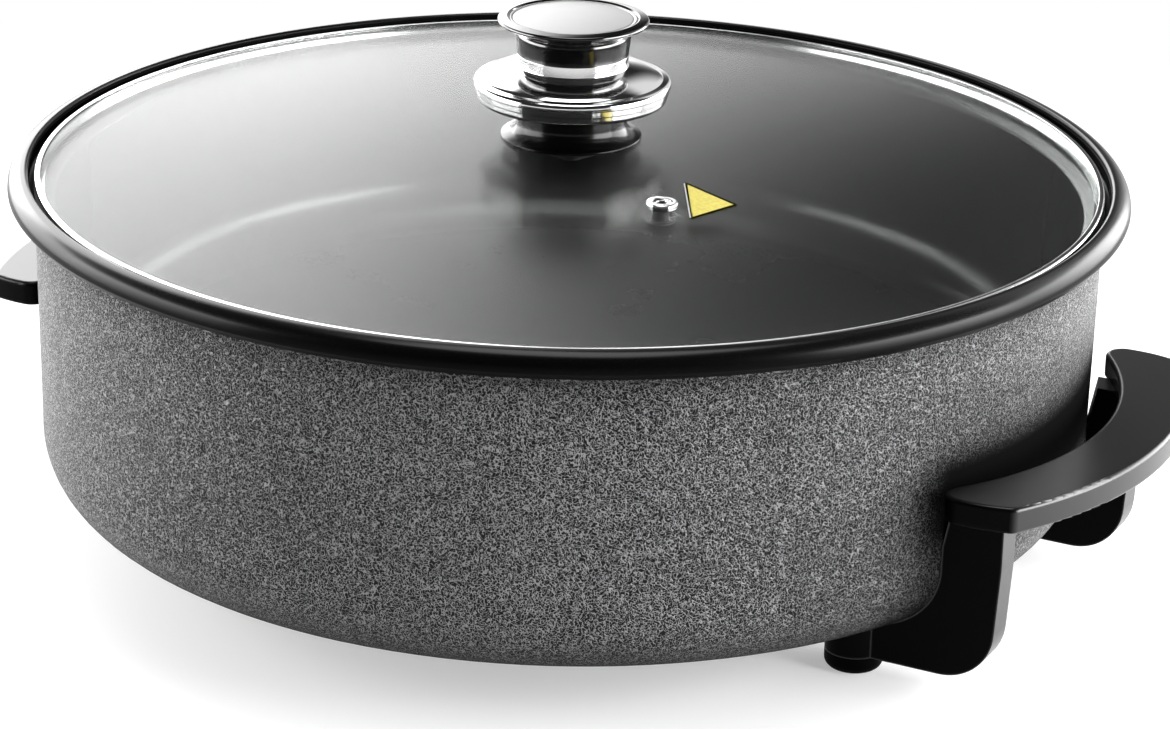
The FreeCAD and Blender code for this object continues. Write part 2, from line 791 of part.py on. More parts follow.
def knob_saucer():
    """Thick disc with two fine steps round its edge and a domed top that ends in a collar."""
    bore = "knob_core + hole_gap"
    edge = "saucer_radius - saucer_step"
    low_step = KNOB_SHOULDER + " + saucer_low_step_rise"
    high_step = KNOB_SHOULDER + " + saucer_high_step_rise"
    table = "saucer_radius - saucer_shoulder_inset"
    return turned_part("knob_saucer", [
        (bore, KNOB_SHOULDER),
        ("collar_radius", KNOB_SHOULDER),
        ("saucer_radius - 2 * saucer_step", KNOB_SHOULDER + " + saucer_foot_rise", "saucer_edge"),
        ("saucer_radius - 2 * saucer_step", low_step),
        (edge, low_step + " + saucer_step / 2"),
        (edge, high_step),
        ("saucer_radius", high_step + " + saucer_step / 2"),
        ("saucer_radius", KNOB_SHOULDER + " + saucer_shoulder_rise - saucer_step", "saucer_edge"),
        (table, KNOB_SHOULDER + " + saucer_shoulder_rise"),
        (table + " - saucer_step / 2", KNOB_SHOULDER + " + saucer_shoulder_rise + saucer_step / 2",
         "arc", "saucer_crown", True),
        ("collar_radius", KNOB_SHOULDER + " + saucer_height"),
        ("collar_radius", COLLAR_TOP),
        (bore, COLLAR_TOP),
    ])


def knob_cap():
    threads = "knob_screw_radius + hole_gap"
    return turned_part("knob_cap", [
        (threads, COLLAR_TOP),
        ("collar_radius", COLLAR_TOP),
        ("cap_neck", COLLAR_TOP + " + cap_neck_height", "cap_neck_bow"),
        ("cap_shoulder", COLLAR_TOP + " + cap_shoulder_height"),
        ("cap_radius", COLLAR_TOP + " + cap_radius_height", "band_round"),
        ("cap_radius - band_round", CAP_TOP, "band_round / 2"),
        ("cap_bezel", CAP_TOP),
        ("disc_radius + hole_gap * 2", CAP_TOP + " - disc_sink / 2"),
        ("disc_radius + hole_gap * 2", DISC_FLOOR),
        (threads, DISC_FLOOR),
    ])


def knob_disc():
    return sub_part(cylinder("knob_disc_plate", "disc_radius", "disc_sheet", z=DISC_FLOOR),
                    "knob_disc")


def ring(name, outer, bore, height, z):
    disc = cylinder(name + "_disc", outer, height, z=z)
    hole = cylinder(name + "_bore", bore, height, z=z)
    return sub_part(cut(name + "_ring", disc, [hole]), name)


def knob_fastening():
    bore = "knob_screw_radius + bolt_gap"
    seal_under = GLASS_UNDER + " - seal_sheet - hole_gap"
    washer_under = seal_under + " - knob_washer_sheet"
    ring("knob_seal", "seal_radius", bore, "seal_sheet", seal_under)
    ring("knob_washer", "knob_washer_radius", bore, "knob_washer_sheet", washer_under)
    head = cylinder("knob_screw_pan_head", "knob_screw_head", "knob_screw_head_height",
                    z=washer_under + " - knob_screw_head_height")
    length = "%s + knob_screw_bite - (%s)" % (COLLAR_TOP, washer_under)
    shank = cylinder("knob_screw_shank", "knob_screw_radius", length, z=washer_under)
    sub_part(fused("knob_screw_whole", [head, shank]), "knob_screw")


def draw_grip(sketch, end):
    """Crescent seen from above: two arcs about points on the handle's axis, closed by two
    shorter ones at its ends."""
    half = end + "_half_length"
    outer = along_arc("grip_outer_arc", end + "_reach", half)
    inner = along_arc("grip_inner_arc", end + "_gap_reach", half)
    draw_outline(sketch, [
        (outer, "-" + half, "arc", "grip_outer_arc", True),
        (outer, half, "arc", "grip_end_arc", True),
        (inner, half, "arc", "grip_inner_arc", False),
        (inner, "-" + half, "arc", "grip_end_arc", True),
    ])


def along_arc(radius, reach, half):
    """Where an arc of that radius and outermost reach passes the grip's end."""
    return "%s - %s + sqrt(%s ^ 2 - %s ^ 2)" % (reach, radius, radius, half)


def upright(edge):
    ends = [v.Point for v in edge.Vertexes]
    return len(ends) == 2 and (ends[1] - ends[0]).getAngle(Vector(0, 0, 1)) % math.pi < 1e-6


def handle(end):
    """Handle of one end: crescent grip, two legs, two arms under the housing and their bosses."""
    body = new_body("handle_" + end)
    grip = new_sketch(body, "grip_outline_" + end, "XY_Plane", GRIP_UNDER)
    draw_grip(grip, end)
    padded(body, "grip_" + end, grip, "grip_thickness")
    split = value("housing_radius")
    softened(body, "grip_tips_" + end, "grip_tip_round",
             lambda e: upright(e) and e.CenterOfMass.x > split)
    softened(body, "grip_heels_" + end, "grip_heel_round",
             lambda e: upright(e) and e.CenterOfMass.x < split and
             abs(abs(e.CenterOfMass.y) - value(end + "_half_length")) < 1e-6)
    levels = (value(GRIP_TOP), value(GRIP_UNDER))
    softened(body, "grip_edges_" + end, "grip_edge",
             lambda e: not upright(e) and min(abs(e.CenterOfMass.z - z) for z in levels) < 1e-6)
    middle = end + "_leg_middle"
    leg = new_sketch(body, "leg_outline_" + end, "XZ_Plane",
                     "-(%s + leg_thickness / 2)" % middle)
    draw_outline(leg, [
        ("foot_middle", ARM_UNDER),
        ("leg_toe", ARM_UNDER, "leg_corner"),
        ("leg_reach", "stand_height + leg_straight_from"),
        ("leg_reach", GRIP_UNDER + " + grip_edge"),
        ("foot_middle", GRIP_UNDER + " + grip_edge"),
    ])
    legs = padded(body, "leg_" + end, leg, "leg_thickness")
    boss_sketch = new_sketch(body, "boss_outline_" + end, "XY_Plane", ARM_UNDER)
    draw_circle(boss_sketch, "foot_radius", "foot_middle", middle)
    boss = padded(body, "boss_" + end, boss_sketch, "arm_depth * 2")
    mirror = body.newObject("PartDesign::Mirrored", "legs_mirrored_" + end)
    mirror.Originals = [legs, boss]
    mirror.MirrorPlane = (origin_plane(body, "XZ_Plane"), [""])
    body.Tip = mirror
    DOC.recompute()
    clear_housing(body, end)
    for side, sign in SIDES:
        drilled(body, "boss_hole_%s_%s" % (end, side), "foot_screw_radius + bolt_gap",
                "arm_depth * 2", "foot_middle", "%d * %s" % (sign, middle),
                ARM_UNDER + " - arm_depth / 2")
    for name, heading in wall_screw_spots():
        if name.endswith(end):
            turn = heading if end == "right" else heading - 180
            start = housing_radius_at("wall_screw_level")
            drilled(body, "leg_hole_" + name, "wall_screw_radius + hole_gap",
                    "wall_screw_bite + bolt_gap",
                    along(start, turn, "cos"), along(start, turn, "sin"),
                    UNDERSIDE + " + wall_screw_level", radial(turn))
    if end == "left":
        body.Placement = Placement(Vector(0, 0, 0), Rotation(Vector(0, 0, 1), 180))
    return sub_part(body, "handle_" + end)


def clear_housing(body, end):
    """Hollows the handle to the housing's outer form, a hair larger, and leaves an air gap that
    widens upwards between the wall and the upper leg."""
    before = body.Shape.Volume
    turned(body, "housing_clearance_" + end, [
        ("0", UNDERSIDE),
        ("housing_radius - housing_draft + fit_gap", UNDERSIDE, "housing_corner"),
        (housing_radius_at("air_gap_from") + " + fit_gap", UNDERSIDE + " + air_gap_from"),
        ("housing_radius + air_gap", GRIP_TOP),
        ("housing_radius + air_gap", SKIRT_EDGE),
        ("0", SKIRT_EDGE),
    ], "PartDesign::Groove")
    if body.Shape.Volume >= before:
        raise ValueError("the handle isn't hollowed")


def feet():
    for name, x, y in foot_spots():
        body = new_body("foot_" + name)
        recess = "foot_recess_depth"
        height = ARM_UNDER
        turned(body, "foot_turned_" + name, [
            ("foot_recess", "0"),
            ("foot_radius", "0", "foot_edge"),
            ("foot_radius", height),
            ("foot_screw_radius + bolt_gap", height),
            ("foot_screw_radius + bolt_gap", recess),
            ("foot_recess", recess),
        ])
        place(body, x, y)
        sub_part(body, "foot_" + name)


def foot_fastening():
    screws = []
    nuts = []
    inside = UNDERSIDE + " + housing_sheet"
    for name, x, y in foot_spots():
        head = cylinder("foot_screw_head_" + name, "foot_screw_head", "foot_screw_head_height",
                        x, y, "foot_recess_depth - foot_screw_head_height")
        shank = cylinder("foot_screw_shank_" + name, "foot_screw_radius",
                         inside + " + foot_nut_height + thread_end - foot_recess_depth",
                         x, y, "foot_recess_depth")
        screws.append(fused("foot_screw_" + name, [head, shank]))
        nuts.append(nut("foot_nut_" + name, "foot_nut_radius", "foot_nut_height",
                        "foot_screw_radius + hole_gap", x, y, inside))
    grouped("foot_screws", screws)
    grouped("foot_nuts", nuts)


def nut(name, radius, height, bore, x, y, z):
    prism = hexagon(name + "_hex", radius, height, x, y, z)
    hole = cylinder(name + "_bore", bore, height, x, y, z)
    return cut(name, prism, [hole])


def handle_screws():
    screws = []
    level = UNDERSIDE + " + wall_screw_level"
    inner = "(%s - housing_sheet - fit_gap * 1.5)" % housing_radius_at("wall_screw_level")
    for name, heading in wall_screw_spots():
        turn = radial(heading)
        back = "(%s - wall_screw_head_height)" % inner
        head = cylinder("handle_screw_head_" + name, "wall_screw_head", "wall_screw_head_height",
                        along(back, heading, "cos"), along(back, heading, "sin"), level, turn)
        shank = cylinder("handle_screw_shank_" + name, "wall_screw_radius",
                         "wall_screw_bite + housing_sheet + fit_gap * 1.5",
                         along(inner, heading, "cos"), along(inner, heading, "sin"), level, turn)
        screws.append(fused("handle_screw_" + name, [head, shank]))
    grouped("handle_screws", screws)


def heat_spreader():
    plate = cylinder("spreader_plate", "spreader_radius", "spreader_sheet", z=SPREADER_UNDER)
    holes = [cylinder("spreader_hole_%d" % number, "stud_body + bolt_gap", "spreader_sheet",
                      x, y, SPREADER_UNDER) for number, x, y in stud_spots()]
    return sub_part(cut("spreader_cut", plate, holes), "heat_spreader")


def heating_element():
    """Round loop whose two ends bend out and run side by side to the socket."""
    body = new_body("heating_element")
    radius, bend = value("loop_radius"), value("loop_bend")
    half, end = value("pin_spacing / 2"), value("element_end")
    out = math.sqrt((radius + bend) ** 2 - (half + bend) ** 2)
    path = new_sketch(body, "element_path", "XY_Plane", ELEMENT_LEVEL)
    touch = Vector(-out, half + bend, 0) * (radius / (radius + bend))
    mirrored = Vector(touch.x, -touch.y, 0)
    centre = Vector(0, 0, 0)
    up = Vector(-out, half + bend, 0)
    down = Vector(-out, -half - bend, 0)
    entry = path.addGeometry(Part.LineSegment(Vector(-end, half, 0), Vector(-out, half, 0)))
    first = path.addGeometry(arc_between(Vector(-out, half, 0), touch, up, True))
    loop = path.addGeometry(arc_between(touch, mirrored, centre, False))
    last = path.addGeometry(arc_between(mirrored, Vector(-out, -half, 0), down, True))
    leave = path.addGeometry(Part.LineSegment(Vector(-out, -half, 0), Vector(-end, -half, 0)))
    rules = [
        Sketcher.Constraint("Tangent", entry, 2, first, 1),
        Sketcher.Constraint("Tangent", first, 2, loop, 2),
        Sketcher.Constraint("Tangent", loop, 1, last, 1),
        Sketcher.Constraint("Tangent", last, 2, leave, 1),
        Sketcher.Constraint("Coincident", loop, 3, -1, 1),
        Sketcher.Constraint("Horizontal", entry),
        Sketcher.Constraint("Horizontal", leave),
        Sketcher.Constraint("Equal", first, last),
    ]
    for rule in rules:
        path.addConstraint(rule)
    pin_point(path, entry, 1, "-element_end", "pin_spacing / 2")
    pin_point(path, leave, 2, "-element_end", "-pin_spacing / 2")
    for index, text in ((loop, "loop_radius"), (first, "loop_bend")):
        rule = path.addConstraint(Sketcher.Constraint("Radius", index, value(text)))
        path.setExpression("Constraints[" + str(rule) + "]", tie(text))
    section = new_sketch(body, "element_section", "YZ_Plane", "-element_end")
    draw_circle(section, "element_radius", "pin_spacing / 2", ELEMENT_LEVEL)
    DOC.recompute()
    pipe = body.newObject("PartDesign::AdditivePipe", "element_tube")
    pipe.Profile = section
    pipe.Spine = (path, ["Edge" + str(i) for i in range(1, len(path.Shape.Edges) + 1)])
    DOC.recompute()
    return sub_part(body, "heating_element")


def element_clips():
    """Straps under the loop, each with two feet against the spreader plate."""
    clips = []
    drop = "(element_radius * 2 + hole_gap)"
    inner = "(element_radius + clip_gap)"
    outer = "(element_radius + clip_gap + clip_sheet)"
    foot = "(element_radius + clip_gap + clip_sheet + clip_foot)"
    top = SPREADER_UNDER
    for number in range(CLIP_COUNT):
        body = new_body("element_clip_%d" % number)
        sketch = new_sketch(body, "clip_outline_%d" % number, "XZ_Plane", "-clip_width / 2")
        middle = "loop_radius "
        draw_outline(sketch, [
            (middle + "- " + foot, top),
            (middle + "- " + foot, top + " - clip_sheet"),
            (middle + "- " + outer, top + " - clip_sheet"),
            (middle + "- " + outer, top + " - " + drop + " - clip_sheet"),
            (middle + "+ " + outer, top + " - " + drop + " - clip_sheet"),
            (middle + "+ " + outer, top + " - clip_sheet"),
            (middle + "+ " + foot, top + " - clip_sheet"),
            (middle + "+ " + foot, top),
            (middle + "+ " + inner, top),
            (middle + "+ " + inner, top + " - " + drop),
            (middle + "- " + inner, top + " - " + drop),
            (middle + "- " + inner, top),
        ])
        padded(body, "clip_strap_%d" % number, sketch, "clip_width")
        angle = FULL_TURN * number / CLIP_COUNT
        body.Placement = Placement(Vector(0, 0, 0), Rotation(Vector(0, 0, 1), angle))
        clips.append(body)
    return grouped("element_clips", clips)


def heat_reflector():
    level = REFLECTOR
    body = new_body("heat_reflector")
    turned(body, "reflector_dish", [
        ("0", level),
        ("reflector_radius", level),
        ("reflector_radius", level + " + reflector_lip"),
        ("reflector_radius - reflector_sheet", level + " + reflector_lip"),
        ("reflector_radius - reflector_sheet", level + " + reflector_sheet"),
        ("0", level + " + reflector_sheet"),
    ])
    for number, x, y in stud_spots():
        drilled(body, "reflector_hole_%d" % number, "stud_radius + bolt_gap",
                "reflector_sheet * 3", x, y, level + " - reflector_sheet")
    return sub_part(body, "heat_reflector")


def pan_studs():
    """Studs under the pan, with the spacers and nuts that clamp reflector and housing."""
    studs = []
    spacers = []
    nuts = []
    inside = UNDERSIDE + " + housing_sheet"
    shelf = REFLECTOR + " + reflector_sheet"
    spacing = "%s - (%s)" % (REFLECTOR, inside)
    for number, x, y in stud_spots():
        body_rod = cylinder("stud_body_%d" % number, "stud_body",
                            "%s - (%s)" % (PAN_UNDER, shelf), x, y, shelf)
        low = UNDERSIDE + " - stud_nut_height - thread_end"
        rod = cylinder("stud_rod_%d" % number, "stud_radius", "%s - (%s)" % (shelf, low),
                       x, y, low)
        studs.append(fused("stud_%d" % number, [body_rod, rod]))
        tube = cylinder("spacer_tube_%d" % number, "stud_body", spacing, x, y, inside)
        hole = cylinder("spacer_bore_%d" % number, "stud_radius + bolt_gap", spacing,
                        x, y, inside)
        spacers.append(cut("spacer_%d" % number, tube, [hole]))
        nuts.append(nut("stud_nut_%d" % number, "stud_nut_radius", "stud_nut_height",
                        "stud_radius + hole_gap", x, y, UNDERSIDE + " - stud_nut_height"))
    grouped("pan_studs", studs)
    grouped("reflector_spacers", spacers)
    grouped("pan_nuts", nuts)


def socket_shroud():
    """Box with a mouth towards -X and a mounting plate inside the housing's wall."""
    depth = "socket_mouth - socket_back"
    low = ELEMENT_LEVEL + " - socket_height / 2"
    outer = block("shroud_box", depth, "socket_width", "socket_height",
                  "-socket_mouth", "-socket_width / 2", low)
    plate = block("shroud_plate", "socket_plate_sheet", "socket_plate_width",
                  "socket_plate_height", "-socket_back - socket_plate_sheet",
                  "-socket_plate_width / 2", ELEMENT_LEVEL + " - socket_plate_height / 2")
    cavity = block("shroud_cavity", depth + " - socket_wall", "socket_width - 2 * socket_wall",
                   "socket_height - 2 * socket_wall", "-socket_mouth",
                   "-socket_width / 2 + socket_wall", low + " + socket_wall")
    deep = "(socket_wall + socket_plate_sheet) * 2"
    start = "-socket_back + socket_wall"
    tools = [cavity]
    for side, sign in SIDES:
        tools.append(cylinder("shroud_bush_hole_" + side, "bush_radius + hole_gap", deep, start,
                              "%d * pin_spacing / 2" % sign, ELEMENT_LEVEL, facing_left()))
        tools.append(cylinder("shroud_screw_hole_" + side, "socket_screw_radius + hole_gap", deep,
                              start, "%d * socket_screw_spacing / 2" % sign, ELEMENT_LEVEL,
                              facing_left()))
    tools.append(cylinder("shroud_sleeve_hole", "sleeve_radius + hole_gap", deep, start,
                          "0", ELEMENT_LEVEL, facing_left()))
    return sub_part(cut("shroud_cut", fused("shroud_solid", [outer, plate]), tools),
                    "socket_shroud")


def socket_screws():
    screws = []
    across = "socket_screw_spacing / 2"
    seat = "(sqrt(housing_radius ^ 2 - (%s - socket_screw_head) ^ 2) + fit_gap)" % across
    for side, sign in SIDES:
        y = "%d * %s" % (sign, across)
        head = cylinder("socket_screw_head_" + side, "socket_screw_head",
                        "socket_screw_head_height", "-" + seat, y, ELEMENT_LEVEL, facing_left())
        shank = cylinder("socket_screw_shank_" + side, "socket_screw_radius",
                         seat + " - socket_back", "-socket_back", y, ELEMENT_LEVEL,
                         facing_left())
        screws.append(fused("socket_screw_" + side, [head, shank]))
    return grouped("socket_screws", screws)


def terminal(side, sign):
    """Cold pin of the element and the bush that insulates it in the shroud."""
    body = new_body("terminal_pin_" + side)
    turned(body, "pin_turned_" + side, [
        ("0", "element_end"),
        ("pin_shank", "element_end"),
        ("pin_shank", "bush_end"),
        ("pin_radius", "bush_end"),
        ("pin_radius", "pin_tip - pin_chamfer"),
        ("pin_radius - pin_chamfer", "pin_tip"),
        ("0", "pin_tip"),
    ])
    y = "%d * pin_spacing / 2" % sign
    place(body, "0", y, ELEMENT_LEVEL, facing_left())
    sub_part(body, "terminal_pin_" + side)
    length = "bush_end - element_end"
    rod = cylinder("bush_rod_" + side, "bush_radius", length, "-element_end", y, ELEMENT_LEVEL,
                   facing_left())
    bore = cylinder("bush_bore_" + side, "pin_shank + hole_gap", length, "-element_end", y,
                    ELEMENT_LEVEL, facing_left())
    sub_part(cut("bush_" + side, rod, [bore]), "terminal_bush_" + side)


def probe_sleeve():
    """Closed tube from the socket to under the spreader plate, for the control's probe."""
    rod = cylinder("sleeve_rod", "sleeve_radius", "bush_end - sleeve_end", "-sleeve_end", "0",
                   ELEMENT_LEVEL, facing_left())
    bore = cylinder("sleeve_hole", "sleeve_bore", "bush_end - sleeve_bore_end",
                    "-sleeve_bore_end", "0", ELEMENT_LEVEL, facing_left())
    return sub_part(cut("sleeve_cut", rod, [bore]), "probe_sleeve")


def build():
    outer_housing()
    inner_pan()
    handle("right")
    handle("left")
    feet()
    foot_fastening()
    handle_screws()
    heat_spreader()
    heating_element()
    element_clips()
    heat_reflector()
    pan_studs()
    socket_shroud()
    socket_screws()
    for side, sign in SIDES:
        terminal(side, sign)
    probe_sleeve()
    lid_glass()
    lid_band()
    steam_vent()
    lid_sticker()
    knob_gasket()
    knob_base()
    knob_saucer()
    knob_cap()
    knob_disc()
    knob_fastening()


def check():
    """Stops before anything is written if an object failed."""
    DOC.recompute()
    for item in DOC.Objects:
        if "Invalid" in item.State or "Error" in item.State:
            raise ValueError(item.Name + " failed: " + str(item.State))
    for item in PARTS:
        if item.Shape.isNull() or not item.Shape.isValid():
            raise ValueError(item.Label + " has no valid shape")


def export():
    os.makedirs("parts", exist_ok=True)
    for item in PARTS:
        item.Shape.exportStep(os.path.join("parts", item.Label + ".step"))


build()
check()
export()
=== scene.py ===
import math

import bmesh
import bpy
from bpy.props import FloatProperty, FloatVectorProperty, PointerProperty
from bpy.types import Operator, Panel, PropertyGroup
from mathutils import Matrix, Vector


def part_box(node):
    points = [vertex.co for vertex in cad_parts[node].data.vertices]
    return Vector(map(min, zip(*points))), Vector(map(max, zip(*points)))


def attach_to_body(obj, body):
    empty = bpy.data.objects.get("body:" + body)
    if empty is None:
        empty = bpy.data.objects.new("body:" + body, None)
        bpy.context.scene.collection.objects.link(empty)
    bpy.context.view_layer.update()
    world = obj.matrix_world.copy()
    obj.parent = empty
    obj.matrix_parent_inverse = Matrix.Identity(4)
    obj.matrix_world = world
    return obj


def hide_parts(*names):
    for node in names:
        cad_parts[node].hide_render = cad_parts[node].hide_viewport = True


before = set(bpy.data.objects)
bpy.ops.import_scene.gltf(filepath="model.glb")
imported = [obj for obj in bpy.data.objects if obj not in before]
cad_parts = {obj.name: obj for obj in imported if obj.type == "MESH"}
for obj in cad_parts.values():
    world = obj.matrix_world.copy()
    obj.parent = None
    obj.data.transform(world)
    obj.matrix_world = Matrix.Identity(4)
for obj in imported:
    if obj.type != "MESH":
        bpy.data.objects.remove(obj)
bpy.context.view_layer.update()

bl_info = {
    "name": "Electric paella pan finishes",
    "version": (1, 0, 0),
    "blender": (4, 5, 0),
    "location": "3D View > Sidebar > Paella pan",
    "description": "Finishes, small trim and a pale stage for the packed electric paella pan",
    "category": "Object",
}

FULL_TURN = 2 * math.pi
MOST_TURN = math.radians(11)      # from one face to the next on a rounded corner
SHARP_FOLD = math.radians(32)     # a fold above this stays sharp
VENT_SPOT = (0.0652, -0.0549, 0)
WHITE = (1, 1, 1, 1)

# The stage's level directions, seen from the side that the camera stands on.
AWAY = (-0.4524, 0.8918, 0)
RIGHT = (0.8918, 0.4524, 0)


class Wire:
    """A node's output that takes part in sums: each operation adds one Math node."""

    def __init__(self, recipe, socket):
        self.recipe = recipe
        self.socket = socket

    def maths(self, operation, *values):
        return self.recipe.node("ShaderNodeMath", {"operation": operation},
                                dict(enumerate(values)))["Value"]

    def __add__(self, other):
        return self.maths("ADD", self, other)

    def __radd__(self, other):
        return self.maths("ADD", other, self)

    def __sub__(self, other):
        return self.maths("SUBTRACT", self, other)

    def __rsub__(self, other):
        return self.maths("SUBTRACT", other, self)

    def __mul__(self, other):
        return self.maths("MULTIPLY", self, other)

    def __rmul__(self, other):
        return self.maths("MULTIPLY", other, self)

    def __truediv__(self, other):
        return self.maths("DIVIDE", self, other)

    def __pow__(self, other):
        return self.maths("POWER", self, other)

    def __abs__(self):
        return self.maths("ABSOLUTE", self)

    def larger(self, *others):
        """The largest of this and the others."""
        largest = self
        for other in others:
            largest = self.maths("MAXIMUM", largest, other)
        return largest

    def eased(self, low, high):
        """0 below low and 1 above high, with a soft step between them."""
        settings = {"interpolation_type": "SMOOTHSTEP"}
        sockets = {"Value": self, "From Min": low, "From Max": high}
        return self.recipe.node("ShaderNodeMapRange", settings, sockets)["Result"]

    def between(self, low, high, soft):
        """1 between low and high, falling softly to 0 inside both ends."""
        return self.eased(low, low + soft) * (1 - self.eased(high - soft, high))


class Made:
    """A node that has been added; its outputs are picked by name or number."""

    def __init__(self, recipe, node):
        self.recipe = recipe
        self.node = node

    def __getitem__(self, output):
        return Wire(self.recipe, self.node.outputs[output])


class Recipe:
    """The node tree of one finish."""

    def __init__(self, tree):
        self.tree = tree
        tree.nodes.clear()

    def node(self, kind, settings=None, sockets=None):
        """Adds a node: its settings are set first, then its sockets get values or wires."""
        made = self.tree.nodes.new(kind)
        for name, setting in (settings or {}).items():
            setattr(made, name, setting)
        for name, value in (sockets or {}).items():
            if isinstance(value, Wire):
                self.tree.links.new(value.socket, made.inputs[name])
            else:
                made.inputs[name].default_value = value
        return Made(self, made)

    def place(self):
        """Position on the piece itself, which moves with it."""
        return self.node("ShaderNodeTexCoord")["Object"]

    def split(self, vector):
        parts = self.node("ShaderNodeSeparateXYZ", None, {"Vector": vector})
        return parts["X"], parts["Y"], parts["Z"]

    def dot(self, first, second):
        return self.node("ShaderNodeVectorMath", {"operation": "DOT_PRODUCT"},
                         {0: first, 1: second})["Value"]

    def stretched(self, vector, scale):
        return self.node("ShaderNodeVectorMath", {"operation": "MULTIPLY"},
                         {0: vector, 1: scale})["Vector"]

    def grain(self, vector, size, detail=2.0, distortion=0.0):
        """Soft noise whose lumps are about one size across, in metres."""
        return self.node("ShaderNodeTexNoise", {"noise_dimensions": "3D"},
                         {"Vector": vector, "Scale": 1 / size, "Detail": detail,
                          "Distortion": distortion})["Fac"]

    def blend(self, factor, first, second):
        """Colour between two colours."""
        return self.node("ShaderNodeMix", {"data_type": "RGBA"},
                         {0: factor, 6: first, 7: second})[2]

    def facing_up(self):
        """1 on level surfaces that face up, 0 on upright ones and below."""
        normal = self.node("ShaderNodeNewGeometry")["Normal"]
        return self.split(normal)[2].eased(0.15, 0.85)

    def facing_out(self):
        """1 on upright surfaces that face left or right, away from the pan."""
        normal = self.node("ShaderNodeNewGeometry")["Normal"]
        outward = self.split(normal)[0] * self.split(self.place())[0] * 5
        return outward.eased(0.3, 0.95)

    def edges(self, radius):
        """1 on corners that soft_edges rounds, 0 on the faces between them."""
        normal = self.node("ShaderNodeNewGeometry")["Normal"]
        return (1 - self.dot(self.soft_edges(radius), normal)).eased(0.005, 0.08)

    def hollows(self, reach):
        """1 in the open, less in corners and beside other pieces: ambient occlusion, used to
        paint shade.
        """
        return self.node("ShaderNodeAmbientOcclusion", {"samples": 6},
                         {"Distance": reach})["AO"]

    def soft_edges(self, radius):
        """Normal that shades sharp corners as if they were rounded."""
        return self.node("ShaderNodeBevel", {"samples": 6}, {"Radius": radius})["Normal"]

    def relief(self, height, depth, normal=None):
        """Normal of a surface that stands depth metres proud where height is 1."""
        sockets = {"Height": height, "Distance": depth}
        if normal is not None:
            sockets["Normal"] = normal
        return self.node("ShaderNodeBump", None, sockets)["Normal"]

    def rays(self, *kinds):
        """1 for a ray of any of these kinds, 0 for every other."""
        path = self.node("ShaderNodeLightPath")
        first, *others = (path[kind] for kind in kinds)
        return first.larger(*others)

    def surface(self, **sockets):
        named = {name.replace("_", " "): value for name, value in sockets.items()}
        return self.node("ShaderNodeBsdfPrincipled", None, named)

    def mixed(self, factor, first, second):
        """Shader between two shaders."""
        return self.node("ShaderNodeMixShader", None, {0: factor, 1: first[0], 2: second[0]})

    def shine(self, strength):
        return self.node("ShaderNodeEmission", None, {"Color": WHITE, "Strength": strength})

    def output(self, shader, kind="ShaderNodeOutputMaterial"):
        self.node(kind, None, {"Surface": shader[0]})


def colour(values, share=1):
    """A shade as a node takes it, made darker or lighter by a share."""
    return (*(value * share for value in values), 1)


def finish(name):
    """New material and the recipe that fills it."""
    material = bpy.data.materials.new(name)
    material.use_nodes = True
    return material, Recipe(material.node_tree)


def coat(material, *nodes):
    """Puts a finish on CAD nodes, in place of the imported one."""
    for node in nodes:
        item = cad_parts[node]
        item.data.materials.clear()
        item.data.materials.append(material)


def rounded(corners):
    """Outline in metres from corners in millimetres; a third number rounds that corner."""
    points = []
    for i, corner in enumerate(corners):
        here = Vector(corner[:2])
        if len(corner) < 3:
            points.append(here / 1000)
            continue
        back = (Vector(corners[i - 1][:2]) - here).normalized()
        ahead = (Vector(corners[(i + 1) % len(corners)][:2]) - here).normalized()
        half = back.angle(ahead) / 2
        centre = here + (back + ahead).normalized() * (corner[2] / math.sin(half))
        first = here + back * (corner[2] / math.tan(half)) - centre
        sweep = math.copysign(math.pi - 2 * half, ahead.cross(back))
        steps = max(4, math.ceil(abs(sweep) / MOST_TURN))
        points += [(centre + Matrix.Rotation(sweep * step / steps, 2) @ first) / 1000
                   for step in range(steps + 1)]
    return points


def crown(start, end, radius, steps=10):
    """Corners in millimetres of an arc that bulges upwards between two spots."""
    start, end = Vector(start), Vector(end)
    chord = end - start
    side = Vector((-chord.y, chord.x)).normalized()
    if side.y > 0:
        side = -side
    centre = (start + end) / 2 + side * math.sqrt(radius ** 2 - chord.length_squared / 4)
    sweep = (start - centre).angle_signed(end - centre)
    return [tuple(centre + Matrix.Rotation(-sweep * step / steps, 2) @ (start - centre))
            for step in range(steps + 1)]


def smooth_mesh(name, work):
    """Turns a bmesh into a piece that is smooth but for its sharp corners."""
    bmesh.ops.remove_doubles(work, verts=work.verts, dist=1e-7)
    bmesh.ops.recalc_face_normals(work, faces=work.faces)
    mesh = bpy.data.meshes.new(name)
    work.to_mesh(mesh)
    work.free()
    mesh.shade_smooth()
    mesh.set_sharp_from_angle(angle=SHARP_FOLD)
    piece = bpy.data.objects.new(name, mesh)
    bpy.context.scene.collection.objects.link(piece)
    return piece


def turned(name, corners, steps=128, centre=(0, 0, 0), solid=False):
    """Piece turned about an upright axis; a solid one's outline starts and ends on it."""
    work = bmesh.new()
    verts = [work.verts.new((point.x, 0, point.y)) for point in rounded(corners)]
    pairs = list(zip(verts, verts[1:])) + ([] if solid else [(verts[-1], verts[0])])
    edges = [work.edges.new(pair) for pair in pairs]
    bmesh.ops.spin(work, geom=verts + edges, axis=(0, 0, 1), cent=(0, 0, 0),
                   angle=FULL_TURN, steps=steps, use_merge=True)
    bmesh.ops.translate(work, vec=centre, verts=work.verts)
    return smooth_mesh(name, work)


def attach(piece, material, body, slot, *nodes):
    """Finishes a new piece, fixes it to its body and lets it stand for CAD nodes."""
    piece.data.materials.append(material)
    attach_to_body(piece, body)
    if nodes:
        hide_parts(*nodes)


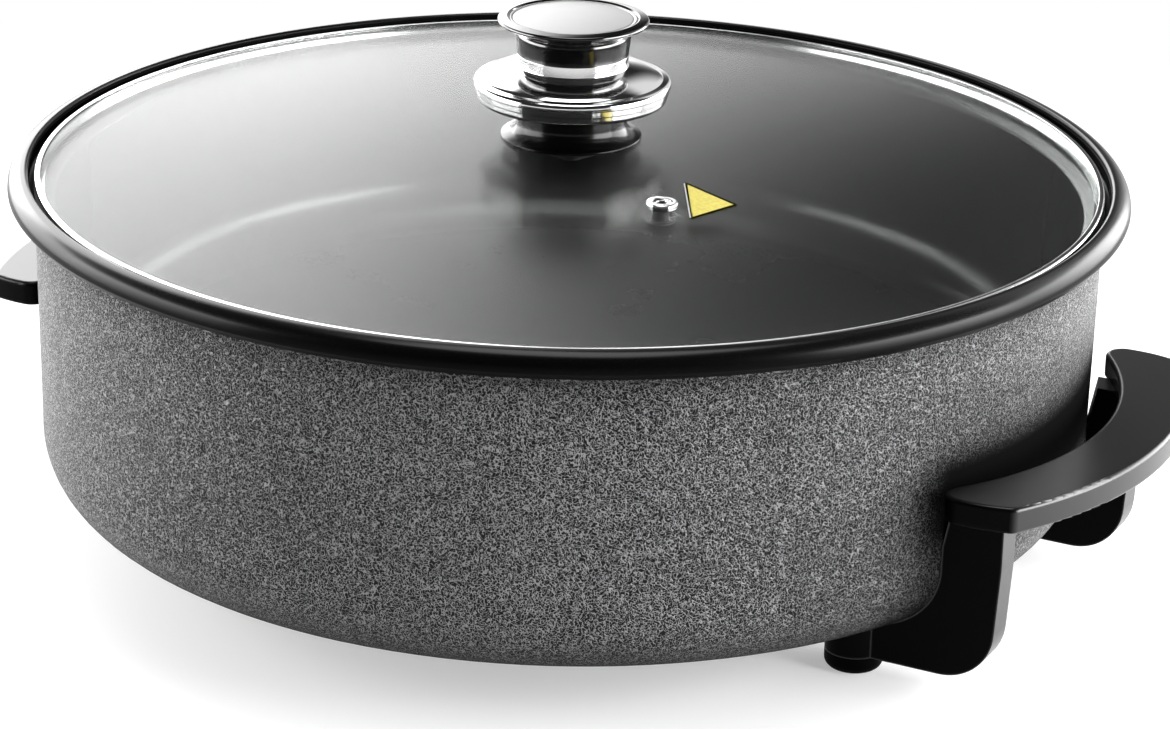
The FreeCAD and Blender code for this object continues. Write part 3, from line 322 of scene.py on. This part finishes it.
def refinish(piece, material, chosen):
    """Gives a second finish to the faces whose middle a test picks."""
    piece.data.materials.append(material)
    for face in piece.data.polygons:
        face.material_index = int(chosen(face.center))


class HousingLook(PropertyGroup):
    """Grey hammered paint of the outer housing."""
    shade: FloatVectorProperty(name="Paint shade", description="Dark ground of the paint",
                               subtype="COLOR", size=3, min=0, max=1,
                               default=(0.003, 0.003, 0.0031))
    fleck: FloatVectorProperty(name="Fleck shade", description="Light ridges of the paint",
                               subtype="COLOR", size=3, min=0, max=1,
                               default=(0.21, 0.21, 0.214))
    grain: FloatProperty(name="Grain", description="Distance between two ridges",
                         unit="LENGTH", default=0.00125, min=0.0003, max=0.01)
    relief: FloatProperty(name="Relief", description="Height of the ridges",
                          unit="LENGTH", default=0.0003, min=0, max=0.001)


class PanLook(PropertyGroup):
    """Black non-stick coating of the inner pan and its rim."""
    shade: FloatVectorProperty(name="Coating shade", description="Colour of the coating",
                               subtype="COLOR", size=3, min=0, max=1,
                               default=(0.0015, 0.0015, 0.0016))
    gloss: FloatProperty(name="Roughness", description="Roughness of the coating",
                         default=0.30, min=0.05, max=1)


class HandleLook(PropertyGroup):
    """Satin black plastic of the handles and the socket."""
    shade: FloatVectorProperty(name="Plastic shade", description="Colour of the plastic",
                               subtype="COLOR", size=3, min=0, max=1,
                               default=(0.0006, 0.0006, 0.0006))
    edge: FloatProperty(name="Edge round", description="Roundness that the edges show",
                        unit="LENGTH", default=0.0012, min=0, max=0.005)


class LidLook(PropertyGroup):
    """Glass lid, its band, vent and sticker."""
    tint: FloatVectorProperty(name="Glass tint", description="Faint tint of the glass",
                              subtype="COLOR", size=3, min=0, max=1,
                              default=(0.86, 0.88, 0.87))
    steel: FloatVectorProperty(name="Steel shade", description="Colour of the polished steel",
                               subtype="COLOR", size=3, min=0, max=1,
                               default=(0.80, 0.80, 0.80))
    film: FloatVectorProperty(name="Sticker colour", description="Colour of the blank film",
                              subtype="COLOR", size=3, min=0, max=1,
                              default=(0.70, 0.60, 0.08))
    border: FloatProperty(name="Sticker border", description="Width of the film's dark edge",
                          unit="LENGTH", default=0.0013, min=0.0002, max=0.003)


class KnobLook(PropertyGroup):
    """Gloss black plastic, chrome and satin silver of the knob."""
    shade: FloatVectorProperty(name="Plastic shade", description="Colour of the gloss plastic",
                               subtype="COLOR", size=3, min=0, max=1,
                               default=(0.0006, 0.0006, 0.0006))
    chrome: FloatVectorProperty(name="Chrome shade", description="Colour of the chrome",
                                subtype="COLOR", size=3, min=0, max=1,
                                default=(0.88, 0.88, 0.88))
    silver: FloatVectorProperty(name="Inlay shade", description="Colour of the satin inlay",
                                subtype="COLOR", size=3, min=0, max=1,
                                default=(0.42, 0.42, 0.42))


class StageLook(PropertyGroup):
    """Pale floor, light panels and camera."""
    floor: FloatVectorProperty(name="Floor colour", description="Colour of the floor",
                               subtype="COLOR", size=3, min=0, max=1,
                               default=(0.72, 0.72, 0.72))
    radius: FloatProperty(name="Floor radius", description="Reach of the round floor",
                          unit="LENGTH", default=9.0, min=1, max=50)
    panels: FloatProperty(name="Panel light",
                          description="Level that each light panel has a share of",
                          default=4.0, min=0, max=20)
    lens: FloatProperty(name="Lens", description="Focal length of the camera, in millimetres",
                        default=119.5, min=10, max=500)


class PAELLA_OT_housing(Operator):
    """Coats the outer housing with hammered paint, and paints shade into it behind the grips
    and in hollows
    """
    bl_idname = "paella.housing"
    bl_label = "Outer housing"

    # The wall is painted dark behind the grips, as their shade: out to where these distances
    # from their middle fade it, and between two heights, faded over the third number.
    GRIP_SHADE_WIDTH = (0.062, 0.082)
    GRIP_SHADE_HEIGHT = (0.050, 0.095, 0.013)

    def execute(self, context):
        look = context.scene.paella_housing
        material, recipe = finish("hammered_paint")
        place = recipe.place()
        first = recipe.grain(place, look.grain, 0.0, 0.4)
        second = recipe.grain(place, look.grain * 0.77, 0.0, 0.4)
        broad = recipe.grain(place, 0.03, 2.0)
        worm = 1 - abs(first - 0.5).eased(0.0, 0.070)
        ridge = worm.larger(1 - abs(second - 0.5).eased(0.0, 0.055))
        tone = ridge * (0.82 + broad * 0.36)
        x, y, z = recipe.split(place)
        grip_shade_reach = 1 - (abs(y) - x * 0.04).eased(*self.GRIP_SHADE_WIDTH)
        painted_grip_shade = grip_shade_reach * z.between(*self.GRIP_SHADE_HEIGHT)
        # Painted shade: in hollows found by ambient occlusion, and behind the grips, the paint
        # turns to a dark matte finish.
        clear_of_painted_shade = recipe.hollows(0.04) ** 2 * (1 - painted_grip_shade)
        shader = recipe.surface(
            Base_Color=recipe.blend(tone, colour(look.shade), colour(look.fleck)),
            Metallic=0.8 + ridge * 0.2,
            Roughness=0.52 - ridge * 0.08,
            Normal=recipe.relief(ridge, look.relief, recipe.soft_edges(0.0008)),
            Coat_Weight=0.1 + ridge * 0.9,
            Coat_IOR=1.5,
            Coat_Roughness=0.38)
        # The dark matte finish that stands in for shade.
        dark = recipe.surface(Base_Color=colour(look.shade), Roughness=0.9,
                              Specular_IOR_Level=0.0)
        recipe.output(recipe.mixed(clear_of_painted_shade, dark, shader))
        coat(material, "outer_housing")
        return {"FINISHED"}


class PAELLA_OT_pan(Operator):
    """Turns the inner pan with its rolled rim and gives it the black non-stick coating"""
    bl_idname = "paella.pan"
    bl_label = "Inner pan"

    def execute(self, context):
        look = context.scene.paella_pan
        material, recipe = finish("nonstick_coating")
        place = recipe.place()
        speck = recipe.grain(place, 0.0009, 2.0)
        broad = recipe.grain(place, 0.045, 3.0)
        inside = 1 - recipe.split(place)[2].eased(0.133, 0.138)
        shader = recipe.surface(
            Base_Color=recipe.blend(speck.eased(0.5, 0.72), colour(look.shade),
                                    colour(look.shade, 1.8)),
            Roughness=look.gloss - 0.03 + broad * 0.06,
            Specular_IOR_Level=0.04,
            Coat_Weight=inside * 0.8 + (1 - inside) * recipe.facing_up() * 0.5,
            Coat_Roughness=0.24)
        recipe.output(shader)
        floor, under = 61.5, 59.5
        pan = turned("nonstick_pan", [
            (0, floor), (189.1, floor, 21), (192.5, 135.33, 1.5), (202.6, 140.5, 0.8),
            (202.6, 146.8, 1.2), (209.97, 146.8, 6.3), (209.97, 139.7, 1), (208.1, 137.5, 0.4),
            (206.1, 137.5, 0.4), (208, 144.8, 4.3), (204.6, 144.8), (204.6, 139.28),
            (194.5, 134.11), (191.1, under, 23), (0, under)], 320, solid=True)
        attach(pan, material, "cooker", "nonstick_black", "inner_pan")
        return {"FINISHED"}


class PAELLA_OT_handles(Operator):
    """Gives the handles and the socket their satin black plastic"""
    bl_idname = "paella.handles"
    bl_label = "Handles and socket"

    def execute(self, context):
        look = context.scene.paella_handle
        material, recipe = finish("satin_black_plastic")
        place = recipe.place()
        grit = recipe.grain(place, 0.0005, 3.0)
        broad = recipe.grain(place, 0.02, 2.0)
        outside = abs(recipe.split(place)[0]).eased(0.198, 0.204)
        sheen = (recipe.facing_up() * 0.8).larger(recipe.facing_out() * outside * 0.9,
                                                  recipe.edges(look.edge) * 0.8)
        shader = recipe.surface(
            Base_Color=recipe.blend(broad, colour(look.shade), colour(look.shade, 1.5)),
            Roughness=0.32 + grit * 0.10,
            Normal=recipe.relief(grit, 0.00002, recipe.soft_edges(look.edge)),
            Specular_IOR_Level=0.02,
            Coat_Weight=0.02 + sheen,
            Coat_IOR=1.5,
            Coat_Roughness=0.3)
        recipe.output(shader)
        coat(material, "handle_right", "handle_left", "socket_shroud")
        return {"FINISHED"}


class PAELLA_OT_feet(Operator):
    """Gives the round feet their rubber"""
    bl_idname = "paella.feet"
    bl_label = "Feet"

    def execute(self, context):
        material, recipe = finish("foot_rubber")
        grit = recipe.grain(recipe.place(), 0.0005, 3.0)
        shader = recipe.surface(
            Base_Color=recipe.blend(grit, (0.0004, 0.0004, 0.0004, 1),
                                    (0.001, 0.001, 0.001, 1)),
            Roughness=0.45 + grit * 0.15,
            Normal=recipe.relief(grit, 0.00003, recipe.soft_edges(0.0008)),
            Specular_IOR_Level=0.02)
        recipe.output(shader)
        coat(material, "foot_front_right", "foot_back_right", "foot_front_left",
             "foot_back_left")
        return {"FINISHED"}


class PAELLA_OT_glass(Operator):
    """Makes the lid's dome of clear glass"""
    bl_idname = "paella.glass"
    bl_label = "Glass dome"

    # Millimetres: radius of the vent's hole, reach of the dome, radius of its curve.
    HOLE = 3.2
    REACH = 197.45
    CURVE = 1630.4

    def execute(self, context):
        look = context.scene.paella_lid
        material, recipe = finish("clear_glass")
        haze = recipe.grain(recipe.place(), 0.02, 3.0)
        glass = recipe.surface(
            Base_Color=colour(look.tint),
            Roughness=haze.eased(0.5, 0.9) * 0.015,
            IOR=1.01,
            Transmission_Weight=1.0,
            Coat_Weight=0.35,
            Coat_IOR=1.6,
            Coat_Roughness=0.24)
        clear = recipe.node("ShaderNodeBsdfTransparent", None, {"Color": (0.93, 0.93, 0.93, 1)})
        lighting = recipe.rays("Is Shadow Ray", "Is Diffuse Ray")
        recipe.output(recipe.mixed(lighting, glass, clear))
        above = crown((self.HOLE, 156.24), (self.REACH, 144.25), self.CURVE, 30)
        below = crown((self.HOLE, 152.24), (self.REACH, 140.25), self.CURVE, 30)
        dome = turned("glass_dome", [*above, (199.65, 144.25), (199.65, 140.25), *below[::-1]],
                      240)
        self.drill(dome)
        attach(dome, material, "lid", "clear_glass", "lid_glass")
        return {"FINISHED"}

    def drill(self, dome):
        """Cuts the hole that the steam vent sits in."""
        drill = turned("vent_drill", [(0, 140), (self.HOLE, 140), (self.HOLE, 165), (0, 165)],
                       32, VENT_SPOT, solid=True)
        cut = dome.modifiers.new("vent_hole", "BOOLEAN")
        cut.operation = "DIFFERENCE"
        cut.object = drill
        shaped = dome.evaluated_get(bpy.context.evaluated_depsgraph_get())
        mesh = bpy.data.meshes.new_from_object(shaped)
        dome.modifiers.clear()
        dome.data = mesh
        bpy.data.objects.remove(drill)


def polished_steel(name, shade, rough, streak):
    """Bright steel; a streak above 1 draws its grain out into fine lines all round."""
    material, recipe = finish(name)
    drawn = recipe.grain(recipe.stretched(recipe.place(), (1, 1, streak)), 0.004, 3.0)
    shader = recipe.surface(
        Base_Color=recipe.blend(drawn, colour(shade, 0.86), colour(shade)),
        Metallic=1.0,
        Roughness=rough + drawn * 0.10,
        Normal=recipe.relief(drawn, 0.00001))
    recipe.output(shader)
    return material


class PAELLA_OT_band(Operator):
    """Rolls the steel band round the glass"""
    bl_idname = "paella.band"
    bl_label = "Lid band"

    # Beyond this reach and below this height, where the rim hides it, the band is painted
    # darker as shade, and is rougher there.
    SIDE = 0.2000
    FOOT = 0.1398

    def execute(self, context):
        material = polished_steel("band_steel", context.scene.paella_lid.steel, 0.12, 30)
        band = turned("steel_band", [
            (196.35, 139.65, 0.2), (200.25, 139.65, 0.5), (200.25, 145.05, 1.1),
            (197.75, 145.05, 0.25), (197.75, 144.25), (199.65, 144.25), (199.65, 140.25),
            (196.35, 140.25)], 320)
        attach(band, material, "lid", "band_steel", "lid_band")
        # Painted shade: dark, rougher steel on the band's hidden outer side and underside.
        refinish(band, polished_steel("band_painted_shade", (0.30, 0.30, 0.30), 0.25, 30),
                 lambda spot: spot.xy.length > self.SIDE or spot.z < self.FOOT)
        return {"FINISHED"}


class PAELLA_OT_vent(Operator):
    """Turns the steam vent as a rolled eyelet"""
    bl_idname = "paella.vent"
    bl_label = "Steam vent"

    # Below this height the vent is its dark grommet; nearer than this to its axis, its bore is
    # painted dark as shade.
    GROMMET_TOP = 0.1543
    BORE = 0.00175

    def execute(self, context):
        material = polished_steel("vent_steel", context.scene.paella_lid.steel, 0.10, 1)
        vent = turned("steam_eyelet", [
            (1.6, 148.77), (4.9, 148.77, 0.3), (4.9, 149.67, 0.3), (3.2, 149.67),
            (3.2, 154.37), (5.8, 154.37, 0.35), (5.8, 156.82, 0.7), (4.05, 156.82, 0.15),
            (3.7, 156.45), (3.35, 156.82, 0.3), (1.9, 156.5, 0.4), (1.6, 155.6)],
            72, VENT_SPOT)
        attach(vent, material, "lid", "vent_steel", "steam_vent")
        grommet_and_bore_shade, recipe = finish("vent_grommet")
        grit = recipe.grain(recipe.place(), 0.001, 3.0)
        recipe.output(recipe.surface(
            Base_Color=recipe.blend(grit, (0.02, 0.02, 0.02, 1), (0.04, 0.04, 0.04, 1)),
            Roughness=0.5 + grit * 0.1))
        # Painted shade: the eyelet's bore takes the grommet's dark finish.
        axis = Vector(VENT_SPOT).xy
        refinish(vent, grommet_and_bore_shade, lambda spot: (spot.z < self.GROMMET_TOP
                                              or (spot.xy - axis).length < self.BORE))
        return {"FINISHED"}


class PAELLA_OT_sticker(Operator):
    """Lays the blank three-cornered film beside the vent"""
    bl_idname = "paella.sticker"
    bl_label = "Blank sticker"

    # Corners and their rounding in millimetres, then metres and angles.
    CORNERS = ((0, -19.3), (18.4, -3.4), (0, 19.3))
    ROUND = 1.0
    THICK = 0.0002
    FOIL = 0.0005
    SPOT = (0.0691, -0.0427)
    LEAN = math.radians(2.86)
    TURN = math.radians(29.7)

    def execute(self, context):
        look = context.scene.paella_lid
        work = bmesh.new()
        corners = [(*corner, self.ROUND) for corner in self.CORNERS]
        rim = [work.verts.new((*point, self.THICK)) for point in rounded(corners)]
        face = work.faces.new(rim)
        work.normal_update()
        for width in (self.FOIL, look.border - self.FOIL):
            inset = bmesh.ops.inset_region(work, faces=[face], thickness=width,
                                           use_boundary=True, use_even_offset=True)
            for strip in inset["faces"]:
                foil = strip.calc_center_median().x < self.FOIL
                strip.material_index = 2 if foil else 1
        under = [work.verts.new((vert.co.x, vert.co.y, 0)) for vert in rim]
        for i, vert in enumerate(rim):
            side = work.faces.new((vert, rim[i - 1], under[i - 1], under[i]))
            side.material_index = 1
        work.faces.new(under[::-1])
        x, y = self.SPOT
        heading = math.atan2(y, x)
        lean = Matrix.Rotation(heading, 4, "Z") @ Matrix.Rotation(self.LEAN, 4, "Y")
        turn = Matrix.Rotation(self.TURN - heading, 4, "Z")
        low, high = (corner[2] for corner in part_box("lid_sticker"))
        spot = Matrix.Translation(Vector((x, y, (low + high) / 2 - self.THICK / 2)))
        bmesh.ops.transform(work, matrix=spot @ lean @ turn, verts=work.verts)
        film = smooth_mesh("blank_film", work)
        attach(film, self.face(look.film), "lid", "blank_sticker", "lid_sticker")
        film.data.materials.append(self.edge())
        film.data.materials.append(polished_steel("film_foil", look.steel, 0.25, 1))
        return {"FINISHED"}

    @staticmethod
    def face(shade):
        material, recipe = finish("film_face")
        fibre = recipe.grain(recipe.place(), 0.0012, 3.0)
        deep = (shade[0] * 0.85, shade[1] * 0.82, shade[2] * 0.6)
        shader = recipe.surface(
            Base_Color=recipe.blend(fibre.eased(0.35, 0.65), colour(deep), colour(shade)),
            Roughness=0.38 + fibre * 0.12,
            Normal=recipe.relief(fibre, 0.00001))
        recipe.output(shader)
        return material

    @staticmethod
    def edge():
        material, recipe = finish("film_edge")
        fibre = recipe.grain(recipe.place(), 0.0008, 3.0)
        shader = recipe.surface(
            Base_Color=recipe.blend(fibre, (0.006, 0.006, 0.001, 1), (0.02, 0.018, 0.002, 1)),
            Roughness=0.85 + fibre * 0.1,
            Specular_IOR_Level=0.0)
        recipe.output(shader)
        return material


def gloss_black(name, shade, lustre, blur):
    """Deep gloss black plastic: lustre is how much it mirrors, and blur how softly."""
    material, recipe = finish(name)
    ripple = recipe.grain(recipe.place(), 0.006, 2.0)
    shader = recipe.surface(
        Base_Color=recipe.blend(ripple, colour(shade), colour(shade, 2)),
        Roughness=0.12 + ripple * 0.05,
        Normal=recipe.relief(ripple, 0.00001),
        Specular_IOR_Level=0.02,
        Coat_Weight=1.0,
        Coat_IOR=lustre,
        Coat_Roughness=blur)
    recipe.output(shader)
    return material


class PAELLA_OT_knob_base(Operator):
    """Turns the knob's flared gloss black base"""
    bl_idname = "paella.knob_base"
    bl_label = "Knob base"

    def execute(self, context):
        material = gloss_black("base_plastic", context.scene.paella_knob.shade, 1.3, 0.2)
        base = turned("knob_pedestal", [
            (2.8, 157.05), (24.3, 157.05), (24.3, 156.25), (26.5, 156.25, 0.2),
            (26.5, 157.15, 0.4), (20.7, 158.15, 5.7), (20.7, 167.94), (19.5, 167.94),
            (19.5, 188.34), (2.8, 188.34)])
        attach(base, material, "lid", "black_bakelite", "knob_base")
        return {"FINISHED"}


class PAELLA_OT_knob_saucer(Operator):
    """Turns the knob's thick chrome disc and collar"""
    bl_idname = "paella.knob_saucer"
    bl_label = "Knob disc and collar"

    # Heights between which the disc's edge is painted nearly black, as the shade of a fine
    # groove.
    GROOVE_SHADE_HEIGHTS = ((0.1732, 0.1739), (0.1757, 0.1763), (0.1706, 0.1712))

    def execute(self, context):
        look = context.scene.paella_knob
        material, recipe = finish("saucer_chrome")
        smear = recipe.grain(recipe.place(), 0.008, 3.0)
        bright = recipe.blend(smear, colour(look.chrome, 0.93), colour(look.chrome))
        height = recipe.split(recipe.place())[2]
        # Painted shade: nearly black chrome in thin bands round the edge, where grooves would
        # be.
        first, *others = (height.between(*shade_band, 0.0002) for shade_band in self.GROOVE_SHADE_HEIGHTS)
        shader = recipe.surface(
            Base_Color=recipe.blend(first.larger(*others), bright, colour(look.chrome, 0.08)),
            Metallic=1.0,
            Roughness=0.08 + smear * 0.05)
        recipe.output(shader)
        top = crown((33.65, 179.6), (20.9, 184.15), 45)
        saucer = turned("chrome_disc", [
            (19.55, 167.95), (20.9, 167.95, 0.2), (35.6, 170.65, 1.8), (35.6, 173.35, 0.15),
            (36.3, 173.7, 0.2), (36.3, 175.75, 0.15), (37, 176.1, 0.2), (37, 178.55, 1.8),
            (34, 179.25, 0.25), *top[:-1], (*top[-1], 0.4), (20.9, 188.35, 0.2),
            (19.55, 188.35)], 160)
        attach(saucer, material, "lid", "chrome", "knob_saucer")
        return {"FINISHED"}


class PAELLA_OT_knob_cap(Operator):
    """Turns the knob's gloss black grip with its bezel"""
    bl_idname = "paella.knob_cap"
    bl_label = "Knob grip"

    def execute(self, context):
        material = gloss_black("grip_plastic", context.scene.paella_knob.shade, 1.8, 0.14)
        cap = turned("knob_grip", [
            (2.55, 188.35), (20.9, 188.35, 0.2), (21.9, 197.65, 5.5), (25.7, 199.25, 1.2),
            (28.5, 200.5, 0.8), (28.0, 201.75, 0.8), (24.5, 202.44, 0.6),
            (23.9, 201.6), (23.9, 200.85), (2.55, 200.85)], 160)
        attach(cap, material, "lid", "black_bakelite", "knob_cap")
        return {"FINISHED"}


class PAELLA_OT_knob_disc(Operator):
    """Turns the satin silver inlay"""
    bl_idname = "paella.knob_disc"
    bl_label = "Knob inlay"

    def execute(self, context):
        shade = context.scene.paella_knob.silver
        material, recipe = finish("satin_inlay")
        x, y, _ = recipe.split(recipe.place())
        radius = (x * x + y * y) ** 0.5
        rings = recipe.grain(recipe.node("ShaderNodeCombineXYZ", None, {"X": radius})["Vector"],
                             0.0003, 2.0)
        cloud = recipe.grain(recipe.place(), 0.004, 3.0)
        shader = recipe.surface(
            Base_Color=recipe.blend(rings * 0.6 + cloud * 0.4, colour(shade, 0.88),
                                    colour(shade)),
            Metallic=1.0,
            Roughness=0.38 + rings * 0.1,
            Normal=recipe.relief(rings, 0.00001))
        recipe.output(shader)
        disc = turned("silver_inlay", [
            (0, 201.9), (22.2, 201.78, 0.5), (22.5, 201.5, 0.3), (23.2, 201.86, 0.3),
            (23.8, 201.86, 0.25), (23.8, 200.85), (0, 200.85)], 128, solid=True)
        attach(disc, material, "lid", "satin_inlay", "knob_disc")
        return {"FINISHED"}


class PAELLA_OT_hardware(Operator):
    """Finishes the screws, studs, heater and socket metal"""
    bl_idname = "paella.hardware"
    bl_label = "Hardware"

    def execute(self, context):
        plain = {
            "zinc_steel": ((0.45, 0.45, 0.47), (0.62, 0.62, 0.63), 1.0, 0.3,
                           ("foot_screws", "foot_nuts", "handle_screws", "pan_studs",
                            "pan_nuts", "reflector_spacers", "socket_screws", "element_clips",
                            "probe_sleeve", "terminal_pin_front", "terminal_pin_back")),
            "black_zinc": ((0.01, 0.01, 0.01), (0.02, 0.02, 0.02), 0.6, 0.4,
                           ("knob_screw", "knob_washer")),
            "heater_tube": ((0.16, 0.15, 0.14), (0.30, 0.28, 0.26), 0.9, 0.45,
                            ("heating_element",)),
            "mill_aluminium": ((0.55, 0.55, 0.56), (0.72, 0.72, 0.72), 1.0, 0.35,
                               ("heat_spreader", "heat_reflector")),
            "dark_silicone": ((0.004, 0.004, 0.004), (0.01, 0.01, 0.01), 0.0, 0.55,
                              ("knob_gasket", "knob_seal")),
            "white_ceramic": ((0.70, 0.69, 0.65), (0.80, 0.79, 0.76), 0.0, 0.3,
                              ("terminal_bush_front", "terminal_bush_back")),
        }
        for name, (dark, light, metallic, rough, nodes) in plain.items():
            material, recipe = finish(name)
            grit = recipe.grain(recipe.place(), 0.002, 4.0)
            shader = recipe.surface(
                Base_Color=recipe.blend(grit, colour(dark), colour(light)),
                Metallic=metallic,
                Roughness=rough - 0.05 + grit * 0.15,
                Normal=recipe.relief(grit, 0.00002))
            recipe.output(shader)
            coat(material, *nodes)
        return {"FINISHED"}


class PAELLA_OT_stage(Operator):
    """Lays the pale floor, lights the pan and places the camera"""
    bl_idname = "paella.stage"
    bl_label = "Stage"

    # Each side panel's bearing in degrees, round from the camera's side, and its share.
    SIDE_PANELS = ((-127, 1.5), (-84, 2.2), (70, 4.0), (117, 2.4))
    SIDE_DISTANCE = 0.95
    SIDE_HEIGHT = 0.29
    SIDE_SIZE = (0.78, 0.55)
    TOP_SHARE = 0.9
    TOP_HEIGHT = 1.25
    TOP_SIZE = (0.7, 0.7)
    CAMERA_SPOT = (0.63714, -1.23978, 0.59252)
    CAMERA_TURNS = ((26.9, "Z"), (69.24, "X"), (1.351, "Z"))
    SENSOR = 36

    # How far the floor is lifted where it is looked at, and where it fades to white.
    FLOOR_LIFT = 0.40
    FLOOR_FADE = (0.45, 0.75)
    # The surround's levels: all round, behind on the left, low beside that, on the right.
    DIM, GLOW, HAZE, CORNER = 0.02, 5.3, 0.35, 0.8
    # Height, as a sine, by which the white that metal and glass mirror has faded.
    HORIZON = 0.06

    def execute(self, context):
        scene = context.scene
        look = scene.paella_stage
        self.lay_floor(look)
        self.light_surround(scene)
        for bearing, share in self.SIDE_PANELS:
            bearing = math.radians(bearing)
            outward = Vector(RIGHT) * math.sin(bearing) - Vector(AWAY) * math.cos(bearing)
            self.hang_panel(scene, look.panels * share, outward * self.SIDE_DISTANCE,
                            self.SIDE_HEIGHT, self.SIDE_SIZE)
        self.hang_panel(scene, look.panels * self.TOP_SHARE, Vector(), self.TOP_HEIGHT,
                        self.TOP_SIZE)
        self.place_camera(scene, look)
        scene.view_settings.view_transform = "Standard"
        return {"FINISHED"}

    def lay_floor(self, look):
        """Floor that keeps the pan's shadow and looks plain white further out."""
        work = bmesh.new()
        bmesh.ops.create_circle(work, cap_ends=True, cap_tris=True, segments=96,
                                radius=look.radius)
        floor = smooth_mesh("pale_floor", work)
        material, recipe = finish("pale_floor")
        mottle = recipe.grain(recipe.place(), 0.25, 3.0)
        base = recipe.node("ShaderNodeBsdfDiffuse", None, {
            "Color": recipe.blend(mottle, colour(look.floor, 0.985), colour(look.floor))})
        seen = recipe.rays("Is Camera Ray", "Is Glossy Ray", "Is Transmission Ray")
        x, y, _ = recipe.split(recipe.place())
        reach = (x * x + y * y) ** 0.5
        lift = recipe.shine(seen * self.FLOOR_LIFT)
        near = recipe.node("ShaderNodeAddShader", None, {0: base[0], 1: lift[0]})
        recipe.output(recipe.mixed(seen * reach.eased(*self.FLOOR_FADE), near,
                                   recipe.shine(1.0)))
        floor.data.materials.append(material)

    def light_surround(self, scene):
        """Looks white, and lights dimly but for a glow behind that fades to the right."""
        world = bpy.data.worlds.new("studio_surround")
        world.use_nodes = True
        scene.world = world
        recipe = Recipe(world.node_tree)
        heading = recipe.node("ShaderNodeTexCoord")["Generated"]
        away = recipe.dot(heading, AWAY)
        height = recipe.split(heading)[2]
        leftward = (-1 * recipe.dot(heading, RIGHT)) / away.larger(0.1)
        behind = away.eased(0.3, 0.5) * height.between(-0.05, 0.78, 0.15)
        glow = (leftward - height * 0.25).eased(-0.21, 0.11) * (1 - leftward.eased(0.6, 0.9))
        haze = leftward.eased(-0.26, -0.10) * (1 - height.eased(0.05, 0.35))
        corner = (-1 * leftward).eased(0.2, 0.42)
        level = self.DIM + behind * (glow * self.GLOW + haze * self.HAZE
                                     + corner * self.CORNER)
        mirrored = recipe.rays("Is Glossy Ray", "Is Transmission Ray")
        seen = recipe.rays("Is Camera Ray").larger(
            mirrored * (1 - height.eased(0.0, self.HORIZON)))
        shader = recipe.node("ShaderNodeBackground", None,
                             {"Color": WHITE, "Strength": seen + (1 - seen) * level})
        recipe.output(shader, "ShaderNodeOutputWorld")

    @staticmethod
    def hang_panel(scene, level, spot, height, size):
        """Hangs a light panel that faces the pan and is as bright at any size."""
        data = bpy.data.lights.new("soft_panel", "AREA")
        data.shape = "RECTANGLE"
        data.size, data.size_y = size
        data.energy = level * math.pi * data.size * data.size_y
        panel = bpy.data.objects.new("soft_panel", data)
        panel.visible_camera = False
        facing = (-spot if spot.length else Vector((0, 0, -1))).to_track_quat("-Z", "Y")
        panel.matrix_world = (Matrix.Translation(spot + Vector((0, 0, height)))
                              @ facing.to_matrix().to_4x4())
        scene.collection.objects.link(panel)

    def place_camera(self, scene, look):
        camera = bpy.data.objects.new("photo_camera", bpy.data.cameras.new("photo_camera"))
        camera.data.lens = look.lens
        camera.data.sensor_width = self.SENSOR
        place = Matrix.Translation(Vector(self.CAMERA_SPOT))
        for angle, axis in self.CAMERA_TURNS:
            place = place @ Matrix.Rotation(math.radians(angle), 4, axis)
        camera.matrix_world = place
        scene.collection.objects.link(camera)
        scene.camera = camera


LOOKS = {"paella_housing": HousingLook, "paella_pan": PanLook, "paella_handle": HandleLook,
         "paella_lid": LidLook, "paella_knob": KnobLook, "paella_stage": StageLook}
PIECES = (PAELLA_OT_housing, PAELLA_OT_pan, PAELLA_OT_handles, PAELLA_OT_feet, PAELLA_OT_glass,
          PAELLA_OT_band, PAELLA_OT_vent, PAELLA_OT_sticker, PAELLA_OT_knob_base,
          PAELLA_OT_knob_saucer, PAELLA_OT_knob_cap, PAELLA_OT_knob_disc,
          PAELLA_OT_hardware, PAELLA_OT_stage)


class PAELLA_PT_panel(Panel):
    """Lists the looks and the pieces"""
    bl_idname = "PAELLA_PT_panel"
    bl_label = "Paella pan"
    bl_space_type = "VIEW_3D"
    bl_region_type = "UI"
    bl_category = "Paella pan"

    def draw(self, context):
        for name, look in LOOKS.items():
            box = self.layout.box()
            group = getattr(context.scene, name)
            for field in look.__annotations__:
                box.prop(group, field)
        for piece in PIECES:
            self.layout.operator(piece.bl_idname)


def register():
    for kind in (*LOOKS.values(), *PIECES, PAELLA_PT_panel):
        bpy.utils.register_class(kind)
    for name, look in LOOKS.items():
        setattr(bpy.types.Scene, name, PointerProperty(type=look))


def unregister():
    for name in LOOKS:
        delattr(bpy.types.Scene, name)
    for kind in (PAELLA_PT_panel, *reversed(PIECES), *reversed(LOOKS.values())):
        bpy.utils.unregister_class(kind)


def main():
    register()
    for piece in PIECES:
        getattr(bpy.ops.paella, piece.bl_idname.split(".")[1])()


if __name__ == "__main__":
    main()
